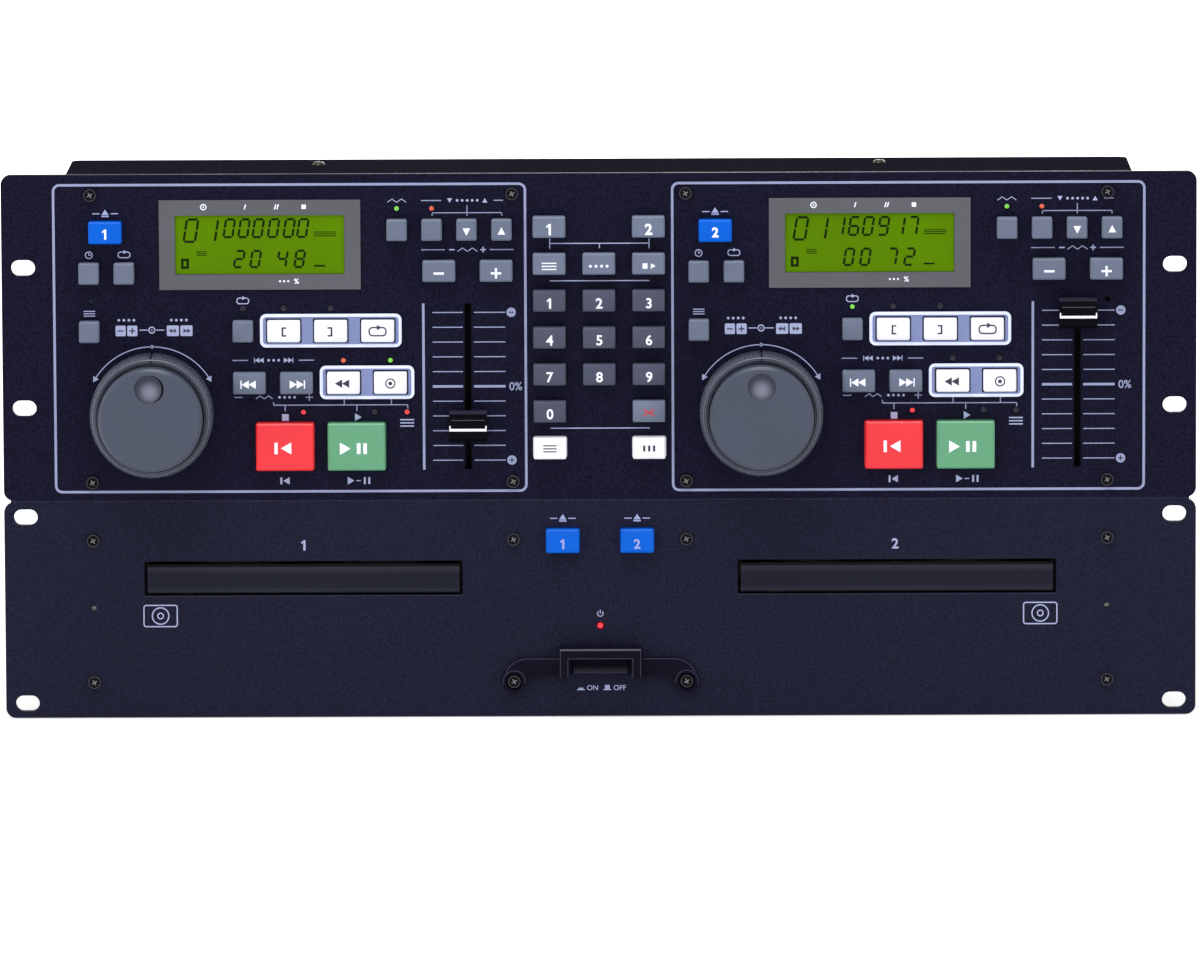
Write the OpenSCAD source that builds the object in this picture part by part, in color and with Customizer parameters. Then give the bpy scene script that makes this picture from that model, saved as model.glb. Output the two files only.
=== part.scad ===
// Dual disc player: a twin disc drive in two rack spaces, with its remote controller in three
// rack spaces stacked on it. Sizes are millimetres. Z is up and the front faces -Y.
// Heights are counted from the table, and depths from the front face of the panels.

/* [Rack panels] */
// Width of both front panels
rack_w = 482.6; // [478:0.1:486]
// Height of one rack space
unit_h = 44.45; // [44:0.05:46]
// Height taken off each panel so that stacked panels clear each other
panel_gap = 0.8; // [0.4:0.1:1.4]
// Thickness of both front panels
panel_t = 3; // [2:0.25:4]
// Corner radius of both front panels
panel_corner_r = 4; // [1:0.5:5]
// Distance between the left and the right rack slots
rack_pitch = 465.1; // [463:0.1:467]
// Length of a rack slot
rack_slot_len = 9.6; // [8:0.1:11]
// Width of a rack slot
rack_slot_w = 6.4; // [5.5:0.1:7]
// Height of the drive panel's slots above and below the edges of its rack spaces
drive_slot_in = 6.35; // [6:0.05:9]
// Height of the controller panel's slots above and below the edges of its rack spaces
control_slot_in = 38.1; // [36:0.1:40]

/* [Cases] */
// Sheet thickness of the cases
sheet_t = 1.2; // [0.8:0.1:2]
// Width of the drive's chassis
case_w = 430; // [426:1:440]
// Depth from the panel's front to the back of the drive's chassis
drive_d = 262; // [250:1:300]
// Height of the drive's feet
foot_h = 5; // [4:0.5:8]
// Radius of the drive's feet
foot_r = 9; // [6:0.5:12]
// Distance of the drive's top below the top edge of its panel
drive_top_in = 3.3; // [2:0.1:5]
// Width of the controller's case
control_case_w = 431; // [426:1:440]
// Depth from the panel's front to the back of the controller's case
control_d = 65; // [60:1:90]
// Distance of the controller's top below the top edge of its panel
control_top_in = 0.8; // [0.4:0.1:3]
// Distance of the controller's floor above the bottom edge of its panel
control_floor_in = 3; // [2:0.5:5]
// Length of the cooling slots in the drive's top
vent_len = 40; // [20:1:60]
// Width of a cooling slot
vent_w = 2.5; // [1.5:0.1:4]
// Number of cooling slots above each disc mechanism
vent_count = 12; // [4:1:16]

/* [Screws] */
// Radius of a screw head
screw_head_r = 2.6; // [2.2:0.1:3]
// Height of a screw head
screw_head_t = 1.7; // [1:0.1:2.2]
// Radius of a screw's thread
screw_r = 1.45; // [1.2:0.05:1.45]
// Length of a screw's thread
screw_len = 7; // [6:0.5:8]
// Distance of the outer panel screws from the middle
screw_out_x = 205.3; // [203:0.1:207]
// Distance of the inner panel screws from the middle
screw_in_x = 35; // [34.5:0.1:36]
// Distance of the controller's screws from the top edge of its panel
control_screw_top_in = 8.2; // [7:0.1:9]
// Distance of the controller's screws from the bottom edge of its panel
control_screw_low_in = 7.4; // [6.5:0.1:8]
// Height of the drive panel's upper screws
drive_screw_high_z = 73; // [70:0.5:76]
// Height of the drive panel's lower screws and of the guard's screws
drive_screw_low_z = 15; // [14:0.5:16]
// Radius of the small dowel holes beside the outer screws
dowel_hole_r = 1.1; // [0.8:0.1:1.4]

/* [Keys] */
// Height of the controller's keys
key_h = 8.6; // [8:0.1:9]
// Width of a narrow key
narrow_key_w = 8.2; // [7:0.1:9]
// Width of a wide key
wide_key_w = 13.2; // [12:0.1:14]
// Width of the cue key and of the play key
big_key_w = 23.3; // [22:0.1:24]
// Height of the cue key and of the play key
big_key_h = 19.2; // [18:0.1:19.6]
// Width of the drive's tray keys
tray_key_w = 13.5; // [12:0.1:14]
// Height of the drive's tray keys
tray_key_h = 9.6; // [9:0.1:10]
// Distance that keys stand out of the panel
key_reach = 5; // [3:0.1:6]
// Travel of a key
key_travel = 1.2; // [0.6:0.1:1.3]
// Gap between a key and the edge of its hole
key_fit = 0.3; // [0.2:0.05:0.4]
// Corner radius of a key
key_corner_r = 0.8; // [0.4:0.1:1.5]
// Bevel round the front of a key
key_bevel = 0.6; // [0.3:0.1:0.9]
// Thickness of the web that joins a row of keys behind the panel
web_t = 2; // [1.5:0.1:2]
// Width of the web past the edges of its keys
web_margin = 1.4; // [1:0.1:1.5]

/* [Deck layout] */
// Distance between the middle lines of the two decks
deck_pitch = 246.2; // [245.5:0.1:247]
// Place of the jog wheel, from the deck's middle line
jog_x = -57.65; // [-58.5:0.05:-57]
// Height of the jog wheel above the controller's lowest rack space
jog_z = 36.05; // [35:0.05:37]
// Place of the open key, from the deck's middle line
open_x = -76.1; // [-77:0.1:-75]
// Height of the open key
open_z = 109.8; // [109:0.1:110.5]
// Place of the time key, from the deck's middle line
time_x = -82.8; // [-83.4:0.1:-82]
// Distance from the time key to the continue key
time_pitch = 14.2; // [13.5:0.1:15]
// Height of the time key
time_z = 93.2; // [92.5:0.1:94]
// Place of the pitch key, from the deck's middle line
pitch_x = 41.6; // [41:0.1:42]
// Distance between the four keys of the pitch row
pitch_step = 14.1; // [13.8:0.1:14.2]
// Height of the pitch row
pitch_z = 110.5; // [110:0.1:111]
// Distance of each bend key from the middle of the fader
bend_x = 11.55; // [11:0.05:12]
// Height of the bend keys
bend_z = 93.8; // [93.4:0.1:94.4]
// Place of the loop key, from the deck's middle line
loop_x = -20.8; // [-21.5:0.1:-20]
// Place of the first wide key beside the loop key
loop_wide_x = -4.3; // [-4.6:0.1:-4]
// Height of the loop row
loop_z = 69.5; // [69:0.1:70]
// Place of the first track key, from the deck's middle line
track_x = -18.3; // [-19:0.1:-18]
// Distance between the wide keys of a row
wide_step = 19; // [18.6:0.1:19.2]
// Height of the track row
track_z = 48.4; // [48:0.1:49]
// Place of the cue key, from the deck's middle line
cue_x = -4.1; // [-5:0.1:-3.5]
// Distance from the cue key to the play key
cue_pitch = 29; // [28.5:0.1:29.4]
// Height of the cue key and of the play key
cue_z = 22.5; // [22.3:0.1:22.7]
// Width of the display's frame
display_w = 81.3; // [79:0.1:82]
// Height of the display's frame
display_h = 36.4; // [34:0.1:37]
// Width of the display's window
window_w = 68.4; // [66:0.1:69]
// Height of the display's window
window_h = 24; // [22:0.1:25]
// Place of the display, from the deck's middle line
display_x = -13.75; // [-14.5:0.05:-13]
// Height of the middle of the display
display_z = 104.4; // [104:0.1:105]
// Place of the fader, from the deck's middle line
fader_x = 70.1; // [69.6:0.1:70.6]
// Height of the middle of the fader
fader_z = 46.5; // [46:0.1:47]
// Length of the fader's slot
fader_slot_len = 67.5; // [64:0.5:70]
// Width of the fader's slot
fader_slot_w = 3; // [2.6:0.1:3.4]
// Travel of the fader's cap
fader_travel = 60.2; // [54:0.1:61]
// Distance of deck 1's cap from the middle of its travel
fader_rest_1 = -15.4; // [-24:0.1:24]
// Distance of deck 2's cap from the middle of its travel
fader_rest_2 = 29.6; // [-24:0.1:29.6]
// Radius of an indicator lamp
lamp_r = 1.3; // [1:0.1:1.4]
// Distance of a lamp above the middle of its key
lamp_rise = 8.9; // [8.5:0.1:9]
// Distance of the key surrounds past their keys, at the sides
surround_side = 3; // [2.5:0.1:3.1]
// Distance of the key surrounds past their keys, above and below
surround_rise = 2.5; // [2:0.1:2.6]

/* [Key pad] */
// Distance between the columns of the key pad
pad_step_x = 20.05; // [19.5:0.05:20.1]
// Distance between the rows of the key pad
pad_step_z = 15; // [14.4:0.1:15.1]
// Height of the key pad's top row
pad_top_z = 111.55; // [111:0.05:112]

/* [Jog wheel] */
// Outer radius of the shuttle ring
ring_r = 24.9; // [24:0.1:26]
// Inner radius of the shuttle ring
ring_bore_r = 21.95; // [21.6:0.05:22.4]
// Distance that the shuttle ring stands out of the panel
ring_reach = 16; // [12:0.5:20]
// Radius of the jog dial
dial_r = 21; // [20:0.1:21.4]
// Distance that the jog dial stands out of the panel
dial_reach = 25; // [20:0.5:28]
// Radius of the finger hollow
hollow_r = 5.7; // [4:0.1:6]
// Distance of the finger hollow from the dial's axis
hollow_out = 12.7; // [11:0.1:13.5]
// Radius of the dial's shaft
shaft_r = 3; // [2:0.1:3.2]
// Radius of the ring's hollow hub
hub_r = 6; // [5:0.1:6.5]
// Running clearance of turning and sliding shafts
running_fit = 0.06; // [0.02:0.01:0.09]

/* [Fader cap] */
// Width of a fader cap
cap_w = 15.2; // [13:0.1:16]
// Height of a fader cap
cap_h = 11.5; // [9:0.1:13]
// Distance that a fader cap stands out of the panel
cap_reach = 13; // [10:0.5:16]

/* [Disc mechanism] */
// Distance of each disc mechanism from the middle
loader_x = 120.2; // [119:0.1:121]
// Width of a tray's slot in the panel
slot_w = 129; // [129:0.1:131]
// Height of a tray's slot in the panel
slot_h = 14; // [13.6:0.1:15]
// Height of the middle of the slots
slot_z = 57.3; // [57.1:0.1:57.5]
// Width of a tray's front
door_w = 126.4; // [125.5:0.1:127]
// Height of a tray's front
door_h = 11.8; // [11:0.1:12]
// Thickness of a tray's front
door_t = 3; // [2.5:0.1:3.5]
// Width of a tray
tray_w = 124; // [123:0.1:124.4]
// Thickness of a tray
tray_t = 8.2; // [8:0.1:8.4]
// Length of a tray behind its front
tray_len = 172.3; // [165:0.1:180]
// Travel of a tray
tray_travel = 140; // [125:1:142]
// Radius of a disc
disc_r = 60; // [59:0.1:60.2]
// Distance of the disc's middle behind the panel's front
disc_y = 72; // [71:0.1:74]
// Depth of the tray's disc well
well_d = 2.2; // [1.6:0.1:2.4]
// Height that the traverse lifts to reach the disc
lift = 9.3; // [8.5:0.1:9.4]
// Travel of the pickup along its rods
pickup_travel = 33; // [28:0.5:33.4]
// Module of the rack and pinion
gear_module = 1; // [0.9:0.05:1.05]
// Teeth of the pinion
pinion_teeth = 16; // [15:1:17]

/* [Power button] */
// Width of the power button
power_w = 22.6; // [20:0.1:23]
// Height of the power button
power_h = 6.2; // [5.6:0.1:6.4]
// Height of the middle of the power button above the table
power_z = 21; // [20.8:0.1:21.1]
// Travel of the power button
power_travel = 3; // [1.5:0.1:4]
// Distance that the guard's hood stands out of the panel
hood_reach = 9; // [6:0.5:12]
// Width of the guard's hood
hood_w = 33.7; // [32:0.1:36]
// Wall of the guard's hood
hood_wall = 3.85; // [3:0.05:4]
// Thickness of the guard's arms
arm_t = 2.5; // [2:0.1:3]

/* [Rear] */
// Length of a phono socket behind the back
jack_len = 9; // [8:0.1:10]
// Radius of a phono socket
jack_r = 4.15; // [4:0.05:4.3]
// Bore radius of a link socket
link_bore_r = 4.7; // [4.5:0.05:5]
// Width of the mains inlet's mouth
inlet_w = 24.5; // [24:0.1:25.5]
// Height of the mains inlet's mouth
inlet_h = 16.5; // [16:0.1:17]

/* [Hidden] */
$fn = 48;
e = 0.01;
drive_z0 = panel_gap / 2;
drive_z1 = 2 * unit_h - panel_gap / 2;
control_z = 2 * unit_h;
control_z0 = control_z + panel_gap / 2;
control_z1 = 5 * unit_h - panel_gap / 2;
face_y = (dial_reach - drive_d - jack_len) / 2;

chassis_z0 = foot_h;
floor_z = chassis_z0 + sheet_t;
cover_top = drive_z1 - drive_top_in;
cover_z = cover_top - sheet_t;
control_floor = control_z0 + control_floor_in;
control_top = control_z1 - control_top_in;
control_lid_z = control_top - sheet_t;
web_y = panel_t + 0.2;
web_back = web_y + web_t;
board_y = panel_t + 7;
board_t = 1.6;
drive_board_y = panel_t + 9;
tab_w = 11;
low_tab_h = 8;
high_tab_h = 13.2;
foot_in = 25;
foot_row_in = 30;
vent_pitch = 9;
control_dowel_z = 81.2;
drive_dowel_z = 45;
post_r = 1.5;

// Key lists: place across, height, width and height of each key, from the deck's middle line
// or from the middle of the panel, and above the controller's lowest rack space.
open_list = [[open_x, open_z, tray_key_w - 0.2, key_h + 0.3]];
time_list = [
    [time_x, time_z, narrow_key_w, key_h],
    [time_x + time_pitch, time_z, narrow_key_w, key_h],
    [time_x, loop_z, narrow_key_w, key_h]
];
pitch_list = [for (i = [0:3]) [pitch_x + i * pitch_step, pitch_z, narrow_key_w, key_h]];
bend_list = [for (s = [-1, 1]) [fader_x + s * bend_x, bend_z, wide_key_w, key_h]];
loop_list = concat(
    [[loop_x, loop_z, narrow_key_w, key_h]],
    [for (i = [0:2]) [loop_wide_x + i * wide_step, loop_z, wide_key_w, key_h]]
);
track_list = [for (i = [0:3]) [track_x + i * wide_step, track_z, wide_key_w, key_h]];
cue_list = [[cue_x, cue_z, big_key_w, big_key_h]];
play_list = [[cue_x + cue_pitch, cue_z, big_key_w, big_key_h]];
deck_lists = concat(open_list, time_list, pitch_list, bend_list, loop_list, track_list,
    cue_list, play_list);

function pad_key(col, row) = [col * pad_step_x, pad_top_z - row * pad_step_z, wide_key_w, key_h];
memory_list = [
    pad_key(-1, 0), pad_key(1, 0), pad_key(-1, 1), pad_key(0, 1), pad_key(1, 1)
];
number_list = concat(
    [for (row = [2:4]) for (col = [-1:1]) pad_key(col, row)],
    [pad_key(-1, 5), pad_key(1, 5)]
);
link_list = [pad_key(-1, 6), pad_key(1, 6)];
pad_lists = concat(memory_list, number_list, link_list);

// Lamps of a deck: place across and height
deck_lamps = concat(
    [for (i = [0, 1]) [pitch_x + i * pitch_step, pitch_z + lamp_rise - 0.5]],
    [for (i = [0:2]) [loop_list[i][0], loop_z + lamp_rise]],
    [for (i = [2, 3]) [track_list[i][0], track_z + lamp_rise]],
    [for (dx = [7.5, 36.3, 49.4]) [cue_x + dx, cue_z + 13.7]]
);

// Surrounds: the first and the last key that each one frames
surrounds = [[loop_list[1], loop_list[3]], [track_list[2], track_list[3]]];

tray_key_x = 15.05;
tray_key_z = 72.6;
tray_key_list = [[tray_key_x, tray_key_z, tray_key_w, tray_key_h]];
power_lamp_z = 37.5;
power_lamp_r = 1.5;
power_hole_fit = 0.4;

ring_floor = 2.5;
ring_gap = 0.6;
hub_end = panel_t + 6.6;
shaft_end = panel_t + 10.6;
encoder_w = 38;
encoder_t = 13;
jog_hole_r = hub_r + 1;

fader_body_w = 12;
fader_body_t = 12;
fader_body_len = fader_slot_len + 5;
stem_w = fader_slot_w / 2;
stem_h = 6;
stem_end = panel_t + 9;

tray_z0 = slot_z - 6.3;
tray_z1 = tray_z0 + tray_t;
tray_y0 = door_t - 0.3;
well_z = tray_z1 - well_d;
gate_w = 44;
gate_front = disc_y - 18;
gate_back = disc_y + 74;
runner_w = 1.6;
runner_t = 2;
runner_z = tray_z0 + 2.6;
runner_fit = 0.1;
side_x = tray_w / 2 + 0.35;
side_t = 5.65;
frame_y0 = 8;
frame_y1 = tray_y0 + tray_len + 7;
base_z = tray_z0 - 27;
base_t = 2;
bridge_z = tray_z1 + 4.8;

pitch_r = gear_module * pinion_teeth / 2;
tip_r = pitch_r + 0.9 * gear_module;
root_r = pitch_r - 1.25 * gear_module;
pinion_x = -49.2;
pinion_y = 22;
groove_h = 3.5;
rack_x = pinion_x - pitch_r;
rack_root_x = rack_x - 1.15 * gear_module;
rack_pitch_y = PI * gear_module;
rack_y0 = pinion_y - tip_r - 0.6;
rack_y1 = pinion_y + tray_travel + tip_r + 0.6;
motor_r = 12;
motor_top = tray_z0 - 4.4;

plate_z = base_z + 9;
plate_t = 2;
plate_w = 56;
plate_y0 = disc_y - 20;
plate_y1 = gate_back + 2;
guide_x = 24;
guide_ys = [plate_y0 + 5, plate_y1 - 5];
spin_motor_r = 13;
spin_motor_top = plate_z + plate_t + 10.5;
table_z0 = spin_motor_top + 1.4;
table_t = 2;
table_r = 15;
spigot_r = 7.4;
spindle_r = 1;
rod_r = 1.5;
rod_x = 16;
rod_z = plate_z + plate_t + 6.5;
rod_block_t = 3;
rod_y0 = disc_y + 12.5;
pickup_y0 = rod_y0 + rod_block_t + 0.5;
pickup_len = 20;
rod_y1 = pickup_y0 + pickup_len + pickup_travel + 0.5 + rod_block_t;
pickup_h = 7;
pickup_w = 38;
clamp_z = tray_z1 + 1.2;
clamp_r = 17;

hood_z0 = power_z - 4;
hood_z1 = power_z + 8.5;
hood_roof = 4.5;
boss_r = 4.7;
boss_t = 3;
head_seat = 1.2;
phono_x = [-60, -44, -28, 28, 44, 60];
phono_z = 30;
collar_r = jack_r + 0.9;
link_x = [90, 112];
link_z = 30;
link_shell_r = 6.5;
control_link_z = control_floor + 30;
inlet_x = -165;
inlet_z = 32;
inlet_d = 20;
inlet_wall = 1.6;
inlet_flange = 3;
inlet_flange_t = 2;

core_w = 60;
core_d = 40;
core_h = 46;
core_back = 50;
coil_w = 36;
coil_d = 54;
clamp_t = 4;

board_w = 88;
board_y0 = panel_t + 16;
board_y1 = 180;
standoff_h = 8;
standoff_r = 3;

// Places and simple shapes

// Moves depths from the panel's front face to the part's own origin
module placed() {
    translate([0, face_y, 0]) children();
}

// Sign of a deck: deck 1 is on the left
function side(n) = n == 1 ? -1 : 1;

// A controller deck: its middle line, and heights from the lowest rack space
module on_deck(n) {
    placed() translate([side(n) * deck_pitch / 2, 0, control_z]) children();
}

// A disc mechanism: its middle line
module on_loader(n) {
    placed() translate([side(n) * loader_x, 0, 0]) children();
}

// A flat shape drawn in X and Z, from depth y0, t thick
module upright(y0, t) {
    translate([0, y0 + t, 0]) rotate([90, 0, 0]) linear_extrude(t) children();
}

module rod_y(x, y0, z, r, len) {
    translate([x, y0, z]) rotate([-90, 0, 0]) cylinder(r = r, h = len);
}

// A box between two corners
module block(lo, hi) {
    translate(lo) cube(hi - lo);
}

module round_rect(w, h, r) {
    square([w - 2 * r, h], center = true);
    square([w, h - 2 * r], center = true);
    for (x = [-1, 1])
        for (y = [-1, 1])
            translate([x * (w / 2 - r), y * (h / 2 - r)]) circle(r = r);
}

// A flat slot with round ends, along X
module slot_2d(len, w) {
    square([len - w, w], center = true);
    for (s = [-1, 1])
        translate([s * (len - w) / 2, 0]) circle(r = w / 2);
}

// Screws

// A cross-head screw whose seat is at the origin and whose thread runs along +Y
module screw() {
    difference() {
        rotate([-90, 0, 0]) rotate_extrude() polygon([
            [0, -screw_head_t], [screw_head_r * 0.55, -screw_head_t],
            [screw_head_r * 0.85, -screw_head_t * 0.75], [screw_head_r, -screw_head_t * 0.3],
            [screw_head_r, 0], [screw_r, 0], [screw_r, screw_len], [0, screw_len]
        ]);
        for (a = [45, 135])
            rotate([0, a, 0]) block([-1.5, -screw_head_t - e, -0.35], [1.5, -screw_head_t + 0.8, 0.35]);
    }
}

function corners(xs, zs) = [for (x = xs) for (z = zs) for (s = [-1, 1]) [s * x, z]];
drive_screws = corners([screw_out_x], [drive_screw_low_z, drive_screw_high_z]);
drive_mid_screws = corners([screw_in_x], [drive_screw_high_z]);
guard_screws = corners([screw_in_x], [drive_screw_low_z]);
control_screws = corners([screw_out_x, screw_in_x],
    [control_z0 + control_screw_low_in, control_z1 - control_screw_top_in]);
panel_hole_r = screw_r + 0.25;
thread_hole_r = screw_r + 0.05;
lid_screw_x = 114;
lid_screw_y = panel_t + 0.6 * (control_d - panel_t);
side_screw_ys = [60, 200];
side_screw_z = 34;

module fixing_screws() {
    color("dimgray") placed() {
        for (p = concat(drive_screws, drive_mid_screws, control_screws))
            translate([p[0], 0, p[1]]) screw();
        for (p = guard_screws)
            translate([p[0], -head_seat, p[1]]) screw();
        for (s = [-1, 1])
            translate([s * lid_screw_x, lid_screw_y, control_top]) rotate([-90, 0, 0]) screw();
        for (s = [-1, 1])
            for (y = side_screw_ys)
                translate([s * (case_w / 2 + sheet_t), y, side_screw_z]) rotate([0, 0, s * 90]) screw();
    }
}

// Keys

// A key with a bevelled front, out of the panel by key_reach
module key_cap(k) {
    w = k[2];
    h = k[3];
    back = web_y + e;
    intersection() {
        translate([k[0], 0, k[1]]) upright(-key_reach, key_reach + back) round_rect(w, h, key_corner_r);
        translate([k[0], 0, k[1] - h / 2]) linear_extrude(h) polygon(bevelled(w, back));
        translate([k[0] - w / 2, 0, k[1]]) rotate([90, 0, 90]) linear_extrude(w)
            polygon([for (p = bevelled(h, back)) [p[1], p[0]]]);
    }
}

function bevelled(w, back) = [
    [-w / 2, back], [-w / 2, -key_reach + key_bevel], [-w / 2 + key_bevel, -key_reach],
    [w / 2 - key_bevel, -key_reach], [w / 2, -key_reach + key_bevel], [w / 2, back]
];

// The web behind two keys, from the first one's edges to the second one's
module web(a, b) {
    upright(web_y, web_t) {
        x0 = min(a[0] - a[2] / 2, b[0] - b[2] / 2) - web_margin;
        x1 = max(a[0] + a[2] / 2, b[0] + b[2] / 2) + web_margin;
        z0 = min(a[1] - a[3] / 2, b[1] - b[3] / 2) - web_margin;
        z1 = max(a[1] + a[3] / 2, b[1] + b[3] / 2) + web_margin;
        translate([x0, z0]) square([x1 - x0, z1 - z0]);
    }
}

// Keys moulded on one web, which runs from the first key to each of the others in turn
module key_row(keys, joins) {
    for (k = keys)
        key_cap(k);
    for (j = joins)
        web(keys[j[0]], keys[j[1]]);
}

module key_holes(keys) {
    for (k = keys)
        translate([k[0], k[1]]) round_rect(k[2] + 2 * key_fit, k[3] + 2 * key_fit, key_corner_r + key_fit);
}

module open_key() {
    color("dodgerblue") key_row(open_list, [[0, 0]]);
}

module time_keys() {
    color("slategray") key_row(time_list, [[0, 1], [0, 2]]);
}

module pitch_keys() {
    color("slategray") key_row(pitch_list, [[0, 3]]);
}

module bend_keys() {
    color("slategray") key_row(bend_list, [[0, 1]]);
}

module loop_keys() {
    color("lightgray") key_row(loop_list, [[0, 3]]);
}

module track_keys() {
    color("slategray") key_row(track_list, [[0, 3]]);
}

module cue_key() {
    color("tomato") key_row(cue_list, [[0, 0]]);
}

module play_key() {
    color("mediumseagreen") key_row(play_list, [[0, 0]]);
}

module memory_keys() {
    color("silver") placed() translate([0, 0, control_z]) key_row(memory_list, [[0, 4]]);
}

module number_keys() {
    color("dimgray") placed() translate([0, 0, control_z]) key_row(number_list, [[0, 10]]);
}

module link_keys() {
    color("white") placed() translate([0, 0, control_z]) key_row(link_list, [[0, 1]]);
}

module tray_key(n) {
    color("dodgerblue") placed() translate([(side(n) - 1) * tray_key_x, 0, 0])
        key_row(tray_key_list, [[0, 0]]);
}

// Front panels

module panel_2d(z0, z1, slot_in) {
    difference() {
        translate([0, (z0 + z1) / 2]) round_rect(rack_w, z1 - z0, panel_corner_r);
        for (s = [-1, 1])
            for (z = [z0 - panel_gap / 2 + slot_in, z1 + panel_gap / 2 - slot_in])
                translate([s * rack_pitch / 2, z]) slot_2d(rack_slot_len, rack_slot_w);
    }
}

module deck_holes() {
    key_holes(deck_lists);
    translate([display_x, display_z]) square([window_w + 0.2, window_h + 0.2], center = true);
    translate([jog_x, jog_z]) circle(r = jog_hole_r);
    translate([fader_x, fader_z]) square([fader_slot_w, fader_slot_len], center = true);
    for (p = deck_lamps)
        translate(p) circle(r = lamp_r + 0.15);
}

module control_front_panel() {
    color("midnightblue") placed() upright(0, panel_t) difference() {
        panel_2d(control_z0, control_z1, control_slot_in);
        for (n = [1, 2])
            translate([side(n) * deck_pitch / 2, control_z]) deck_holes();
        translate([0, control_z]) key_holes(pad_lists);
        for (p = control_screws)
            translate(p) circle(r = panel_hole_r);
        for (s = [-1, 1])
            translate([s * screw_out_x, control_z + control_dowel_z]) circle(r = dowel_hole_r);
    }
}

module drive_front_panel() {
    color("darkslateblue") placed() upright(0, panel_t) difference() {
        panel_2d(drive_z0, drive_z1, drive_slot_in);
        for (s = [-1, 1])
            translate([s * loader_x, slot_z]) square([slot_w, slot_h], center = true);
        for (s = [-1, 1])
            translate([(s - 1) * tray_key_x, 0]) key_holes(tray_key_list);
        translate([0, power_z]) square([power_w + 2 * power_hole_fit, power_h + 2 * power_hole_fit], center = true);
        translate([0, power_lamp_z]) circle(r = power_lamp_r + 0.15);
        for (p = concat(drive_screws, drive_mid_screws, guard_screws))
            translate(p) circle(r = panel_hole_r);
        for (s = [-1, 1])
            translate([s * screw_out_x, drive_dowel_z]) circle(r = dowel_hole_r);
    }
}

// Cases

// Strips behind a panel, with the outer ones reaching the case's sides, which lie at x = w and -w
module front_tabs(w, z0, z1) {
    for (s = [-1, 1]) {
        translate([s * screw_in_x, 0, 0])
            block([-tab_w / 2, panel_t, z0], [tab_w / 2, panel_t + sheet_t, z1]);
        x0 = min(screw_out_x - tab_w / 2, w - sheet_t);
        x1 = max(screw_out_x + tab_w / 2, w);
        translate([s * (x0 + x1) / 2, 0, 0])
            block([(x0 - x1) / 2, panel_t, z0], [(x1 - x0) / 2, panel_t + sheet_t, z1]);
    }
}

module drive_chassis() {
    w = case_w / 2;
    color("gray") placed() difference() {
        union() {
            block([-w, panel_t, chassis_z0], [w, drive_d, floor_z]);
            for (s = [-1, 1])
                translate([s * (w - sheet_t / 2), 0, 0])
                    block([-sheet_t / 2, panel_t, chassis_z0], [sheet_t / 2, drive_d, cover_z]);
            block([-w, drive_d - sheet_t, chassis_z0], [w, drive_d, cover_z]);
            // front strips that hold the panel's screws
            front_tabs(w, chassis_z0, cover_z);
        }
        for (p = concat(drive_screws, drive_mid_screws, guard_screws))
            rod_y(p[0], panel_t - e, p[1], thread_hole_r, sheet_t + 2 * e);
        for (s = [-1, 1])
            for (y = side_screw_ys)
                translate([s * (w - sheet_t / 2), y, side_screw_z]) rotate([0, 90, 0])
                    cylinder(r = thread_hole_r, h = sheet_t + 2 * e, center = true);
        for (x = phono_x)
            rod_y(x, drive_d - sheet_t - e, phono_z, collar_r + 0.2, sheet_t + 2 * e);
        for (x = link_x)
            rod_y(x, drive_d - sheet_t - e, link_z, link_shell_r + 0.2, sheet_t + 2 * e);
        translate([inlet_x, 0, inlet_z]) upright(drive_d - sheet_t - e, sheet_t + 2 * e)
            square([inlet_w + 2 * inlet_wall + 0.2, inlet_h + 2 * inlet_wall + 0.2], center = true);
    }
}

module drive_top_cover() {
    w = case_w / 2 + sheet_t;
    color("gray") placed() difference() {
        union() {
            block([-w, panel_t, cover_z], [w, drive_d, cover_top]);
            for (s = [-1, 1])
                translate([s * (w - sheet_t / 2), 0, 0])
                    block([-sheet_t / 2, panel_t, floor_z + 6], [sheet_t / 2, drive_d, cover_top]);
        }
        for (n = [1, 2])
            for (i = [0:vent_count - 1])
                translate([side(n) * loader_x + (i - (vent_count - 1) / 2) * vent_pitch, drive_d - 45, cover_z - e])
                    linear_extrude(sheet_t + 2 * e) rotate(90) slot_2d(vent_len, vent_w);
        for (s = [-1, 1])
            for (y = side_screw_ys)
                translate([s * (w - sheet_t / 2), y, side_screw_z]) rotate([0, 90, 0])
                    cylinder(r = panel_hole_r, h = sheet_t + 2 * e, center = true);
    }
}

module rubber_feet() {
    color("black") placed() {
        for (s = [-1, 1])
            for (y = [foot_row_in, drive_d - foot_row_in])
                translate([s * (case_w / 2 - foot_in), y, 0]) cylinder(r = foot_r, h = foot_h);
        for (s = [-1, 1])
            for (y = [14, control_d - 11])
                translate([s * (control_case_w / 2 - foot_in - 10), y, cover_top])
                    cylinder(r = foot_r - 2, h = control_floor - cover_top);
    }
}

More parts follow.
